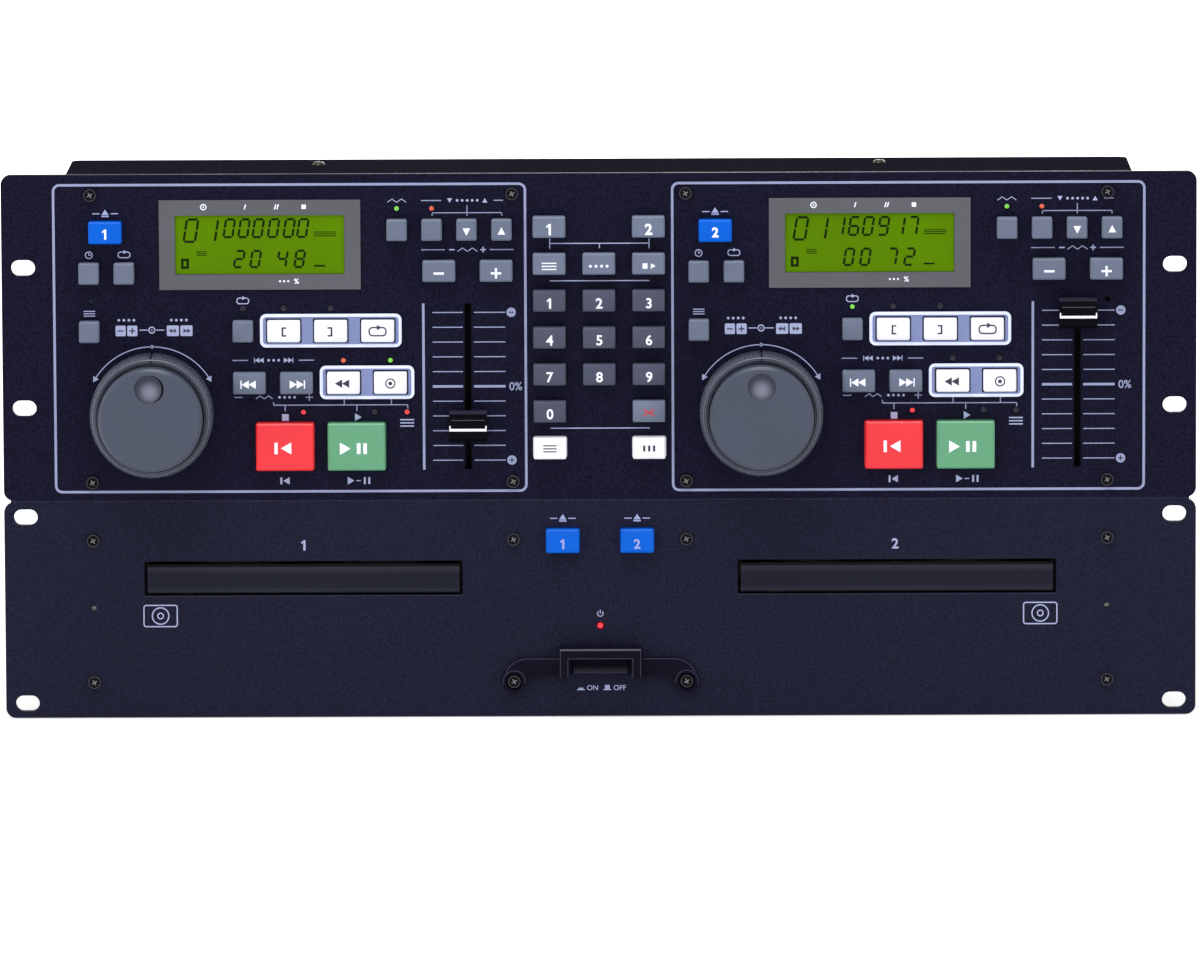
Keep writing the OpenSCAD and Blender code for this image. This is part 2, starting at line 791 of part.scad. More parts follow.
module control_case() {
    w = control_case_w / 2;
    color("gray") placed() difference() {
        union() {
            block([-w, panel_t, control_floor], [w, control_d, control_floor + sheet_t]);
            for (s = [-1, 1])
                translate([s * (w - sheet_t / 2), 0, 0])
                    block([-sheet_t / 2, panel_t, control_floor], [sheet_t / 2, control_d, control_lid_z]);
            block([-w, control_d - sheet_t, control_floor], [w, control_d, control_lid_z]);
            // tabs that hold the panel's lower screws, and hangers for the upper ones
            front_tabs(w, control_floor, control_floor + low_tab_h);
            front_tabs(w, control_z1 - high_tab_h, control_lid_z);
            for (s = [-1, 1])
                translate([s * screw_in_x, 0, 0])
                    block([-tab_w / 2, panel_t, control_lid_z - sheet_t], [tab_w / 2, control_d, control_lid_z]);
            // brackets under the lid's screws
            for (s = [-1, 1])
                translate([s * lid_screw_x, 0, 0])
                    block([-8, lid_screw_y - 8, control_lid_z - sheet_t], [8, control_d, control_lid_z]);
        }
        for (p = control_screws)
            rod_y(p[0], panel_t - e, p[1], thread_hole_r, sheet_t + 2 * e);
        for (s = [-1, 1])
            translate([s * lid_screw_x, lid_screw_y, control_lid_z - sheet_t - e])
                cylinder(r = thread_hole_r, h = sheet_t + 2 * e);
        for (x = link_x)
            rod_y(x, control_d - sheet_t - e, control_link_z, link_shell_r + 0.2, sheet_t + 2 * e);
    }
}

module control_top_cover() {
    w = control_case_w / 2;
    r = 4;
    color("midnightblue") placed() difference() {
        translate([0, 0, control_lid_z]) linear_extrude(sheet_t) {
            translate([-w, panel_t]) square([2 * w, control_d - panel_t - r]);
            translate([-w + r, panel_t]) square([2 * (w - r), control_d - panel_t]);
            for (s = [-1, 1])
                translate([s * (w - r), control_d - r]) circle(r = r);
        }
        for (s = [-1, 1])
            translate([s * lid_screw_x, lid_screw_y, control_lid_z - e])
                cylinder(r = panel_hole_r, h = sheet_t + 2 * e);
    }
}

// Power button and its guard

module power_guard() {
    color("black") placed() difference() {
        union() {
            upright(-hood_reach, hood_reach) difference() {
                translate([0, hood_z0]) round_rect(hood_w, 2 * (hood_z1 - hood_z0), 1.5);
                square([hood_w - 2 * hood_wall, 2 * (hood_z1 - hood_roof)], center = true);
                translate([-hood_w, -hood_z1]) square([2 * hood_w, hood_z1 + hood_z0]);
            }
            guard_arm();
            mirror([1, 0, 0]) guard_arm();
        }
        for (p = guard_screws) {
            rod_y(p[0], -boss_t - e, p[1], screw_head_r + 0.8, boss_t - head_seat + e);
            rod_y(p[0], -boss_t - e, p[1], panel_hole_r, boss_t + 2 * e);
        }
    }
}

module guard_arm() {
    sweep_r = 9.4;
    bend_at = screw_in_x + boss_r - 0.4 - sweep_r;
    arm_top = drive_screw_low_z + sweep_r;
    upright(-arm_t, arm_t) {
        translate([hood_w / 2 - 1, hood_z0]) square([bend_at - hood_w / 2 + 1, arm_top - hood_z0]);
        intersection() {
            translate([bend_at, drive_screw_low_z]) circle(r = sweep_r);
            translate([bend_at, drive_screw_low_z]) square([sweep_r + 1, sweep_r + 1]);
        }
    }
    rod_y(screw_in_x, -boss_t, drive_screw_low_z, boss_r, boss_t);
}

module power_button() {
    rod = 4;
    color("dimgray") placed() translate([0, 0, power_z]) {
        block([-power_w / 2, -1.5, -power_h / 2], [power_w / 2, panel_t + 11, power_h / 2]);
        block([-power_w / 2 - 1.4, web_y, -power_h / 2 - 1.2], [power_w / 2 + 1.4, web_y + 1.6, power_h / 2 + 1.2]);
        block([-rod / 2, panel_t + 11 - e, -rod / 2], [rod / 2, panel_t + 24, rod / 2]);
    }
}

// Electrical pieces

module circuit_boards() {
    color("darkgreen") placed() {
        control_board();
        drive_key_board();
        main_board();
    }
}

// A push switch behind each key, just clear of the pressed web
module tact_switch(k, back) {
    tip = web_back + key_travel + 0.2;
    translate([k[0], 0, k[1]]) {
        block([-3, tip + 0.5, -3], [3, back + e, 3]);
        rod_y(0, tip, 0, 1.6, 1);
    }
}

module control_board() {
    difference() {
        union() {
            translate([0, 0, control_z + 67]) upright(board_y, board_t)
                square([control_case_w - 16, 112], center = true);
            for (n = [1, 2])
                translate([side(n) * deck_pitch / 2, 0, control_z]) {
                    for (k = deck_lists)
                        tact_switch(k, board_y);
                    for (p = [[-52, 78], [50, 72]])
                        rod_y(p[0], panel_t, p[1], post_r, board_y - panel_t + e);
                }
            translate([0, 0, control_z])
                for (k = pad_lists)
                    tact_switch(k, board_y);
            for (s = [-1, 1])
                rod_y(s * 31.3, panel_t, control_z + 60, post_r, board_y - panel_t + e);
        }
        for (n = [1, 2])
            translate([side(n) * deck_pitch / 2, 0, control_z]) {
                translate([jog_x, 0, jog_z]) upright(board_y - e, board_t + 2 * e)
                    square(encoder_w + 2, center = true);
                translate([fader_x, 0, fader_z]) upright(board_y - e, board_t + 2 * e)
                    square([fader_body_w + 2, fader_body_len + 2], center = true);
            }
    }
}

module drive_key_board() {
    translate([0, 0, 55]) upright(drive_board_y, board_t) square([80, 46], center = true);
    for (s = [-1, 1])
        tact_switch([s * tray_key_x, tray_key_z], drive_board_y);
    for (s = [-1, 1])
        for (z = [40, 62])
            rod_y(s * screw_in_x, panel_t + sheet_t, z, 2.5, drive_board_y - panel_t - sheet_t + e);
}

module main_board() {
    z = floor_z + standoff_h;
    block([-board_w / 2, board_y0, z], [board_w / 2, board_y1, z + board_t]);
    for (s = [-1, 1])
        for (y = [board_y0 + 7, (board_y0 + board_y1) / 2, board_y1 - 8])
            translate([s * (board_w / 2 - 2 * standoff_r), y, floor_z])
                cylinder(r = standoff_r, h = standoff_h + e);
    // power switch, with a square hole for the button's rod
    difference() {
        block([-8, panel_t + 17, z + board_t - e], [8, panel_t + 35, power_z + 6]);
        translate([0, 0, power_z]) block([-2.15, panel_t + 16, -2.15], [2.15, panel_t + 28, 2.15]);
    }
    // drive circuits
    for (y = [60, 96, 132])
        block([-16, y, z + board_t - e], [16, y + 22, z + board_t + 3]);
    for (x = [-34, 34])
        for (y = [64, 84])
            translate([x, y, z + board_t - e]) cylinder(r = 5, h = 18);
}

module power_transformer() {
    color("sienna") placed() translate([0, drive_d - core_back, floor_z]) {
        block([-core_w / 2 - clamp_t, -coil_d / 2 + 1, 0], [core_w / 2 + clamp_t, coil_d / 2 - 1, clamp_t]);
        block([-core_w / 2, -core_d / 2, clamp_t - e], [core_w / 2, core_d / 2, core_h]);
        block([-coil_w / 2, -coil_d / 2, 2 * clamp_t], [coil_w / 2, coil_d / 2, core_h - clamp_t]);
    }
}

module mains_inlet() {
    w = inlet_w + 2 * inlet_wall;
    h = inlet_h + 2 * inlet_wall;
    color("black") placed() translate([inlet_x, 0, inlet_z]) {
        difference() {
            union() {
                upright(drive_d - inlet_d - 1, inlet_d + 1 + e) square([w, h], center = true);
                upright(drive_d, inlet_flange_t)
                    square([w + 2 * inlet_flange, h + 2 * inlet_flange], center = true);
            }
            upright(drive_d + inlet_flange_t - inlet_d, inlet_d + e) square([inlet_w, inlet_h], center = true);
        }
        for (p = [[-7, -2], [0, 2], [7, -2]])
            translate([p[0], drive_d + inlet_flange_t - inlet_d - e, p[1]]) block([-1, 0, -2], [1, 13, 2]);
    }
}

// A phono socket: a barrel behind the back and a body inside it
module phono(x) {
    difference() {
        union() {
            translate([x, 0, phono_z]) upright(drive_d - sheet_t - 12, 12) square([12, 14], center = true);
            rod_y(x, drive_d - sheet_t - e, phono_z, collar_r, sheet_t + e);
            rod_y(x, drive_d - e, phono_z, jack_r, jack_len + e);
        }
        rod_y(x, drive_d + 1, phono_z, 1.7, jack_len);
    }
}

// A link socket: a round shell with a bore, in a body seated on the inside of the back
module link_socket(x, back, z) {
    difference() {
        union() {
            translate([x, 0, z]) upright(back - sheet_t - 10, 10) square([15, 15], center = true);
            rod_y(x, back - sheet_t - e, z, link_shell_r, sheet_t + 0.8 + e);
        }
        rod_y(x, back - 7.2, z, link_bore_r, 8 + e);
    }
}

module rear_sockets() {
    color("goldenrod") placed() {
        for (x = phono_x)
            phono(x);
        for (x = link_x) {
            link_socket(x, drive_d, link_z);
            link_socket(x, control_d, control_link_z);
        }
    }
}

// Displays, surrounds and lamps

module display_frames() {
    color("gray")
        for (n = [1, 2])
            on_deck(n) translate([display_x, 0, display_z]) upright(-0.6, 0.6) difference() {
                square([display_w, display_h], center = true);
                square([window_w, window_h], center = true);
            }
}

module display_windows() {
    color("yellowgreen")
        for (n = [1, 2])
            on_deck(n) translate([display_x, 0, display_z]) {
                upright(0.2, panel_t) square([window_w - 0.2, window_h - 0.2], center = true);
                upright(panel_t, 5) square([window_w + 7.6, window_h + 8], center = true);
            }
}

module key_surrounds() {
    color("lightsteelblue")
        for (n = [1, 2])
            on_deck(n) upright(-0.8, 0.8) difference() {
                for (p = surrounds)
                    translate([(p[0][0] + p[1][0]) / 2, p[0][1]])
                        round_rect(p[1][0] - p[0][0] + wide_key_w + 2 * surround_side,
                            key_h + 2 * surround_rise, 2.5);
                key_holes(loop_list);
                key_holes(track_list);
            }
}

module lamp(x, z, r, back) {
    translate([x, 0, z]) rotate([-90, 0, 0]) rotate_extrude()
        polygon([[0, -0.6], [r * 0.6, -0.5], [r, -0.1], [r, back], [0, back]]);
}

module indicator_lamps() {
    color("red") {
        for (n = [1, 2])
            on_deck(n)
                for (p = deck_lamps)
                    lamp(p[0], p[1], lamp_r, board_y);
        placed() lamp(0, power_lamp_z, power_lamp_r, drive_board_y);
    }
}

// Jog wheels and faders

module jog_encoders() {
    color("silver")
        for (n = [1, 2])
            on_deck(n) translate([jog_x, 0, jog_z]) difference() {
                upright(panel_t, encoder_t) square(encoder_w, center = true);
                rod_y(0, panel_t - e, 0, hub_r + running_fit, hub_end - panel_t + 0.4);
                rod_y(0, panel_t, 0, shaft_r + running_fit, shaft_end - panel_t + 0.4);
            }
}

module jog_ring() {
    c = 1.6;
    groove = 1;
    color("darkslategray") translate([jog_x, 0, jog_z]) difference() {
        rotate([-90, 0, 0]) rotate_extrude($fn = 96) polygon([
            [shaft_r + 0.6, hub_end], [hub_r, hub_end], [hub_r, -ring_gap], [ring_r, -ring_gap],
            [ring_r, -ring_reach + c], [ring_r - c, -ring_reach], [ring_bore_r, -ring_reach],
            [ring_bore_r, -ring_floor], [shaft_r + 0.6, -ring_floor]
        ]);
        rod_y(0, -ring_reach - e, ring_r, groove, 5);
    }
}

module jog_dial(turn) {
    c = 1.2;
    face_t = 3.5;
    back = -ring_floor - 0.7;
    ball_r = 9.5;
    sink = ball_r - sqrt(ball_r * ball_r - hollow_r * hollow_r);
    color("lightslategray") translate([jog_x, 0, jog_z]) rotate([0, turn, 0]) difference() {
        rotate([-90, 0, 0]) rotate_extrude($fn = 96) polygon([
            [0, -dial_reach], [dial_r - c, -dial_reach], [dial_r, -dial_reach + c], [dial_r, back],
            [dial_r - 1.5, back], [dial_r - 1.5, -dial_reach + face_t], [shaft_r, -dial_reach + face_t],
            [shaft_r, shaft_end], [0, shaft_end]
        ]);
        translate([0, -dial_reach + sink - ball_r, hollow_out]) sphere(r = ball_r, $fn = 64);
    }
}

module fader_bodies() {
    color("silver")
        for (n = [1, 2])
            on_deck(n) translate([fader_x, 0, fader_z]) difference() {
                upright(panel_t, fader_body_t) square([fader_body_w, fader_body_len], center = true);
                upright(panel_t - e, stem_end - panel_t + 0.3)
                    square([stem_w + 0.6, fader_slot_len], center = true);
            }
}

module fader_cap(rest) {
    w = cap_w / 2;
    h = cap_h / 2;
    color("black") translate([fader_x, 0, fader_z + rest]) {
        translate([-w, 0, 0]) rotate([90, 0, 90]) linear_extrude(cap_w) polygon([
            [-1.2, -h], [-cap_reach + 2.5, -h], [-cap_reach, -h + 1.4], [-cap_reach + 1.2, 0],
            [-cap_reach, h - 1.4], [-cap_reach + 2.5, h], [-1.2, h]
        ]);
        block([-stem_w / 2, -1.2 - e, -stem_h / 2], [stem_w / 2, stem_end, stem_h / 2]);
    }
}

// Disc mechanisms

// The teeth are thinner than half their pitch, so that they mesh with play
tooth_share = 0.36;

module pinion_2d() {
    pitch_half = tooth_share * 180 / pinion_teeth;
    tip_half = 0.45 * pitch_half;
    root_half = 1.5 * pitch_half;
    step = 360 / pinion_teeth;
    polygon([for (i = [0:pinion_teeth - 1]) for (p = [
        [root_r, -root_half], [pitch_r, -pitch_half], [tip_r, -tip_half],
        [tip_r, tip_half], [pitch_r, pitch_half], [root_r, root_half]
    ]) [p[0] * cos(i * step + p[1]), p[0] * sin(i * step + p[1])]]);
}

// One side of the tray's drive groove, with its rack teeth
module rack_2d() {
    half = tooth_share * rack_pitch_y / 2;
    slope = tan(20) * gear_module;
    first = ceil((rack_y0 + 1 - pinion_y) / rack_pitch_y - 0.5);
    last = floor((rack_y1 - 1 - pinion_y) / rack_pitch_y - 0.5);
    for (i = [first:last])
        translate([rack_x, pinion_y + (i + 0.5) * rack_pitch_y]) polygon([
            [-1.15 * gear_module - e, -half - slope], [0.9 * gear_module, -half + 0.9 * slope],
            [0.9 * gear_module, half - 0.9 * slope], [-1.15 * gear_module - e, half + slope]
        ]);
}

module tray() {
    back = tray_y0 + tray_len;
    color("dimgray") {
        difference() {
            union() {
                block([-tray_w / 2, tray_y0, tray_z0], [tray_w / 2, back, tray_z1]);
                for (s = [-1, 1])
                    translate([s * (tray_w / 2 + runner_w / 2 - e), 0, runner_z])
                        block([-runner_w / 2 - e, tray_y0 + 6, 0], [runner_w / 2, back, runner_t]);
            }
            translate([0, disc_y, well_z]) cylinder(r = disc_r + 0.6, h = well_d + e, $fn = 128);
            translate([0, disc_y, well_z - 0.8]) cylinder(r = disc_r * 2 / 3 + 0.6, h = well_d, $fn = 96);
            block([-gate_w / 2, gate_front, tray_z0 - e], [gate_w / 2, gate_back, tray_z1 + e]);
            block([rack_root_x, rack_y0, tray_z0 - e], [pinion_x + tip_r + 0.5, rack_y1, tray_z0 + groove_h]);
        }
        translate([0, 0, tray_z0]) linear_extrude(groove_h + e) rack_2d();
    }
}

// The front of a tray, slightly crowned from top to bottom
module tray_front() {
    crown = 0.5;
    r = (door_h * door_h / 4 + crown * crown) / (2 * crown);
    color("darkslategray") intersection() {
        block([-door_w / 2, -0.3, slot_z - 0.2 - door_h / 2], [door_w / 2, tray_y0, slot_z - 0.2 + door_h / 2]);
        translate([0, r - 0.3, slot_z - 0.2]) rotate([0, 90, 0])
            cylinder(r = r, h = door_w + 2, center = true, $fn = 128);
    }
}

module tray_gear() {
    hub_z = motor_top + 0.3;
    color("ivory") translate([pinion_x, pinion_y, 0]) {
        translate([0, 0, tray_z0 + 0.5]) linear_extrude(groove_h - 0.9) pinion_2d();
        translate([0, 0, hub_z]) cylinder(r = 4, h = tray_z0 + 0.5 - hub_z + e);
        translate([0, 0, hub_z - 8]) cylinder(r = rod_r, h = 8 + e);
    }
}

module loader_frames() {
    color("slategray")
        for (n = [1, 2])
            on_loader(n) {
                loader_frame();
                gear_motor();
                disc_clamp();
            }
}

module loader_frame() {
    outer = side_x + side_t;
    difference() {
        union() {
            block([-outer, frame_y0, base_z], [outer, frame_y1, base_z + base_t]);
            for (s = [-1, 1])
                translate([s * (side_x + side_t / 2), 0, 0])
                    block([-side_t / 2, frame_y0, base_z], [side_t / 2, frame_y1, bridge_z + 2]);
            block([-outer, frame_y1 - 2, base_z], [outer, frame_y1, bridge_z + 2]);
            block([-outer, disc_y - 16, bridge_z], [outer, disc_y + 16, bridge_z + 2]);
            // legs on the chassis floor
            for (x = [-60, 60])
                for (y = [frame_y0 + 14, frame_y1 - 14])
                    translate([x, y, floor_z]) cylinder(r = 5, h = base_z - floor_z + e);
        }
        // grooves that the tray's runners slide in
        for (s = [-1, 1])
            translate([s * side_x, 0, runner_z - runner_fit])
                block([-runner_w - 0.2, frame_y0 - e, 0], [runner_w + 0.2, frame_y1 - 2, runner_t + 2 * runner_fit]);
        translate([0, disc_y, bridge_z - e]) cylinder(r = 12, h = 2 + 2 * e);
    }
    for (s = [-1, 1])
        for (y = guide_ys)
            translate([s * guide_x, y, base_z + base_t - e]) {
                cylinder(r = 3, h = plate_z - 0.2 - base_z - base_t);
                cylinder(r = post_r, h = plate_z - base_z - base_t + lift + 4);
            }
}

module gear_motor() {
    difference() {
        translate([pinion_x, pinion_y, base_z + base_t]) cylinder(r = motor_r, h = motor_top - base_z - base_t);
        translate([pinion_x, pinion_y, motor_top - 8.5]) cylinder(r = rod_r + running_fit, h = 9);
    }
}

// A puck that hangs on the bridge and lets a lifted disc turn
module disc_clamp() {
    translate([0, disc_y, 0]) rotate_extrude() polygon([
        [0, clamp_z + 1.8], [8, clamp_z + 1.8], [8, clamp_z], [clamp_r, clamp_z], [clamp_r, bridge_z - 0.8],
        [10, bridge_z - 0.8], [10, bridge_z + 2.2], [14, bridge_z + 2.2], [14, bridge_z + 3.7],
        [0, bridge_z + 3.7]
    ]);
}

module traverse() {
    top = plate_z + plate_t;
    color("lightgray") difference() {
        union() {
            block([-plate_w / 2, plate_y0, plate_z], [plate_w / 2, plate_y1, top]);
            translate([0, disc_y, top - e]) cylinder(r = spin_motor_r, h = spin_motor_top - top + e);
            for (y = [rod_y0, rod_y1 - rod_block_t])
                block([-rod_x - 4, y, top - e], [rod_x + 4, y + rod_block_t, rod_z + 3.5]);
            for (s = [-1, 1])
                rod_y(s * rod_x, rod_y0, rod_z, rod_r, rod_y1 - rod_y0);
        }
        for (s = [-1, 1])
            for (y = guide_ys)
                translate([s * guide_x, y, plate_z - e]) cylinder(r = post_r + running_fit, h = plate_t + 2 * e);
        translate([0, disc_y, top]) cylinder(r = spindle_r + running_fit, h = spin_motor_top - top + e);
    }
}

module turntable() {
    color("whitesmoke") translate([0, disc_y, 0]) rotate_extrude() polygon([
        [0, plate_z + plate_t + 1], [spindle_r, plate_z + plate_t + 1], [spindle_r, table_z0],
        [table_r, table_z0], [table_r, table_z0 + table_t], [spigot_r, table_z0 + table_t],
        [spigot_r - 1.2, table_z0 + table_t + 1.7], [0, table_z0 + table_t + 1.7]
    ]);
}

module pickup() {
    z0 = rod_z - 3;
    color("black") {
        difference() {
            block([-pickup_w / 2, pickup_y0, z0], [pickup_w / 2, pickup_y0 + pickup_len, z0 + pickup_h]);
            for (s = [-1, 1])
                rod_y(s * rod_x, pickup_y0 - e, rod_z, rod_r + running_fit, pickup_len + 2 * e);
        }
        translate([0, pickup_y0 + pickup_len / 2, z0 + pickup_h - e]) cylinder(r = 3.5, h = 1.8);
    }
}

drive_front_panel();
drive_chassis();
drive_top_cover();
rubber_feet();
circuit_boards();
power_transformer();
mains_inlet();
rear_sockets();
power_guard();
fixing_screws();
loader_frames();
control_front_panel();
control_case();
control_top_cover();
display_frames();
display_windows();
key_surrounds();
indicator_lamps();
jog_encoders();
fader_bodies();
power_button();
memory_keys();
number_keys();
link_keys();
tray_key(1);  // tray_key_1
on_loader(1) tray_front();  // tray_front_1
on_loader(1) tray();  // tray_1
on_loader(1) tray_gear();  // tray_gear_1
on_loader(1) traverse();  // traverse_1
on_loader(1) turntable();  // turntable_1
on_loader(1) pickup();  // pickup_1
on_deck(1) open_key();  // open_key_1
on_deck(1) time_keys();  // time_keys_1
on_deck(1) pitch_keys();  // pitch_keys_1
on_deck(1) bend_keys();  // bend_keys_1
on_deck(1) loop_keys();  // loop_keys_1
on_deck(1) track_keys();  // track_keys_1
on_deck(1) cue_key();  // cue_key_1
on_deck(1) play_key();  // play_key_1
on_deck(1) jog_ring();  // jog_ring_1
on_deck(1) jog_dial(-3.5);  // jog_dial_1
on_deck(1) fader_cap(fader_rest_1);  // fader_cap_1
tray_key(2);  // tray_key_2
on_loader(2) tray_front();  // tray_front_2
on_loader(2) tray();  // tray_2
on_loader(2) tray_gear();  // tray_gear_2
on_loader(2) traverse();  // traverse_2
on_loader(2) turntable();  // turntable_2
on_loader(2) pickup();  // pickup_2
on_deck(2) open_key();  // open_key_2
on_deck(2) time_keys();  // time_keys_2
on_deck(2) pitch_keys();  // pitch_keys_2
on_deck(2) bend_keys();  // bend_keys_2
on_deck(2) loop_keys();  // loop_keys_2
on_deck(2) track_keys();  // track_keys_2
on_deck(2) cue_key();  // cue_key_2
on_deck(2) play_key();  // play_key_2
on_deck(2) jog_ring();  // jog_ring_2
on_deck(2) jog_dial(0);  // jog_dial_2
on_deck(2) fader_cap(fader_rest_2);  // fader_cap_2
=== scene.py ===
# %% [markdown]
# # A twin disc drive and its remote controller
#
# Two rack units stand one on the other: a twin disc drive below and its remote controller above.
# Their steel, keys, wheels and trays come as a finished model, the frame, with every body in its
# place. This notebook gives each of them the finish that the real units have, and models in
# Blender what is finer than that model: the pale print on the panels, the signs on the keys, the
# digits of the displays, the knurled shuttle rings and the small lamps.
#
# The frame is in metres, with +Z up and the front towards -Y.

# %% Load the frame
import math

import bmesh
import bpy
from mathutils import Matrix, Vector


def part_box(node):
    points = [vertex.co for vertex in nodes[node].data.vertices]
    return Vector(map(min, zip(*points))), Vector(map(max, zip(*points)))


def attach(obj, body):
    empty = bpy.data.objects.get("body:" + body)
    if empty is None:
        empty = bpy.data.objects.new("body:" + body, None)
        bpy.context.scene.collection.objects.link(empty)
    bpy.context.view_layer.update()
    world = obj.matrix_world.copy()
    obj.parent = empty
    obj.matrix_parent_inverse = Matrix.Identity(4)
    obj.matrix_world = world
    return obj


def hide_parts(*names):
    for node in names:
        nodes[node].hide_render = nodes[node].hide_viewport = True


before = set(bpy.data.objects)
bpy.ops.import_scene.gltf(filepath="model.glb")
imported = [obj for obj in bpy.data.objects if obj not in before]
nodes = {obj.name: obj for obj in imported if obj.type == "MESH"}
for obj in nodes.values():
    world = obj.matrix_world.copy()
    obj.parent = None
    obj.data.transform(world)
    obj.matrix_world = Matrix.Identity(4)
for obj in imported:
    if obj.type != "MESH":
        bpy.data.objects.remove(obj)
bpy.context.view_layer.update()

# %% [markdown]
# ## Places
#
# Sizes on the panels are written in millimetres, as a draughtsman writes them, and `at` turns
# such a place into a point of the scene. x counts from the middle of the panel, z from the
# table, and `out` is how far the point stands out of the panel's face.
#
# The two decks of the controller are laid out alike, so a place on a deck counts from the deck's
# own middle line, and its height from the lower edge of the controller's rack space.

# %% Places
MM = 0.001
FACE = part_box("drive_front_panel")[0].y
RACK_UNIT = 44.45
CONTROL_Z = 2 * RACK_UNIT
DECK_X = 123.1
DECKS = (1, 2)


def at(x, z, out=0.0):
    """The point x, z on the panels' face, in millimetres, and out millimetres in front of it."""
    return (x * MM, FACE - out * MM, z * MM)


def side(n):
    """-1 for deck 1, on the left, and 1 for deck 2."""
    return -1 if n == 1 else 1


def front_of(node):
    """How far a node reaches out of the panels' face, in millimetres."""
    return (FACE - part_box(node)[0].y) / MM


print(f"the panels' face is at y = {FACE:.4f} m")

# %% [markdown]
# ## The camera
#
# The picture was taken from far in front and a little above, through a long lens, so that the
# panels look almost like a drawing and only a narrow strip of the controller's top shows. A
# camera that stands far away with a long lens gives that look. It is aimed by turning it, with
# no shift, and it leans a quarter of a degree, as the real one did.

# %% Camera
PICTURE_W = 1200
DISTANCE = 4.5
LENS_PX = 11118
ELEVATION = math.radians(7.6)
AZIMUTH = math.radians(-0.32)
LEAN = math.radians(-0.246)
AIM = at(0.1, 97)

bpy.ops.object.camera_add()
camera = bpy.context.object
camera.data.sensor_width = 36
camera.data.lens = camera.data.sensor_width * LENS_PX / PICTURE_W
camera.data.clip_end = 50
level = Matrix.Rotation(-AZIMUTH, 3, "Z") @ Matrix.Rotation(math.pi / 2 - ELEVATION, 3, "X")
aimed = level @ Matrix.Rotation(LEAN, 3, "Z")
camera.rotation_euler = aimed.to_euler()
camera.location = [a + DISTANCE * b for a, b in zip(AIM, aimed.col[2])]
bpy.context.scene.camera = camera
print("camera at", [round(c, 3) for c in camera.location])

# %% [markdown]
# ## Light
#
# The picture is a studio one: wide soft lights above and in front, and a weaker one from each
# side. Three more light the sides and the back of the cases, which the front view doesn't show.
# Area lamps are soft because they are large, and each one is turned to the middle of the object.

# %% Area lamps
LIT_POINT = (0, 0, 0.11)


def soft_light(name, place, watts, size):
    """A square lamp at place that faces the middle of the object."""
    bpy.ops.object.light_add(type="AREA", location=place)
    lamp = bpy.context.object
    lamp.name = name
    lamp.data.energy = watts
    lamp.data.size = size
    towards = lamp.location - Matrix.Translation(LIT_POINT).translation
    lamp.rotation_euler = towards.to_track_quat("Z", "Y").to_euler()
    print(f"{name}: {watts} W, {size} m wide")


soft_light("key_light", (-0.4, -1.2, 2.1), 19, 1.2)
soft_light("top_light", (0.1, -0.5, 2.2), 12, 1.0)
soft_light("left_light", (-2.2, -1.2, 0.9), 7, 1.2)
soft_light("right_light", (2.2, -1.4, 0.8), 6, 1.2)
soft_light("back_light", (0.4, 2.4, 0.75), 17, 1.4)
for towards_x in (-2.4, 2.4):
    soft_light("case_side_light", (towards_x, 0.7, 0.9), 9, 1.2)

# %% [markdown]
# ## Sky
#
# To the camera and in reflections the sky and the paper look white, so that no horizon shows,
# but the light that they cast on the object stays plain, so that every colour renders about as
# it is written. The nodes ask the light path which of the two it is. `remap` is the node that
# turns one range of values into another, and nearly every finish below uses it.

# %% Sky
SKY_LIGHT = 0.42


def seen_directly(tree):
    """A value that is 1 for what the camera, a mirror or a glass sees, and 0 for cast light."""
    path = tree.nodes.new("ShaderNodeLightPath")
    total = path.outputs["Is Camera Ray"]
    for ray in ("Is Glossy Ray", "Is Transmission Ray"):
        add = tree.nodes.new("ShaderNodeMath")
        add.operation = "MAXIMUM"
        tree.links.new(total, add.inputs[0])
        tree.links.new(path.outputs[ray], add.inputs[1])
        total = add.outputs[0]
    return total


def remap(tree, value, start_at, full_at, low=0, high=1, kind="LINEAR"):
    """A value that runs from low to high while another one runs from start_at to full_at."""
    node = tree.nodes.new("ShaderNodeMapRange")
    node.interpolation_type = kind
    node.inputs["From Min"].default_value = start_at
    node.inputs["From Max"].default_value = full_at
    node.inputs["To Min"].default_value = low
    node.inputs["To Max"].default_value = high
    tree.links.new(value, node.inputs["Value"])
    return node.outputs["Result"]


world = bpy.data.worlds.new("studio")
world.use_nodes = True
bpy.context.scene.world = world
sky = world.node_tree
background = sky.nodes["Background"]
background.inputs["Color"].default_value = (1, 1, 1, 1)
strength = remap(sky, seen_directly(sky), 0, 1, SKY_LIGHT, 1)
sky.links.new(strength, background.inputs["Strength"])
print("the sky lights the object with", SKY_LIGHT, "of the white that the camera sees")

# %% [markdown]
# ## Paper
#
# White paper lies under and behind the units, as one flat sheet that reaches far behind them.
# Far behind the object the paper glows fully, and near it half as much, so that the object's
# shadow still shows there.

# %% Paper
PAPER_GLOW = 0.5
PAPER_WIDE = 12
PAPER_NEAR = -5.0
PAPER_FAR = 8.0
GLOW_NEAR = 0.4
GLOW_FAR = 1.6

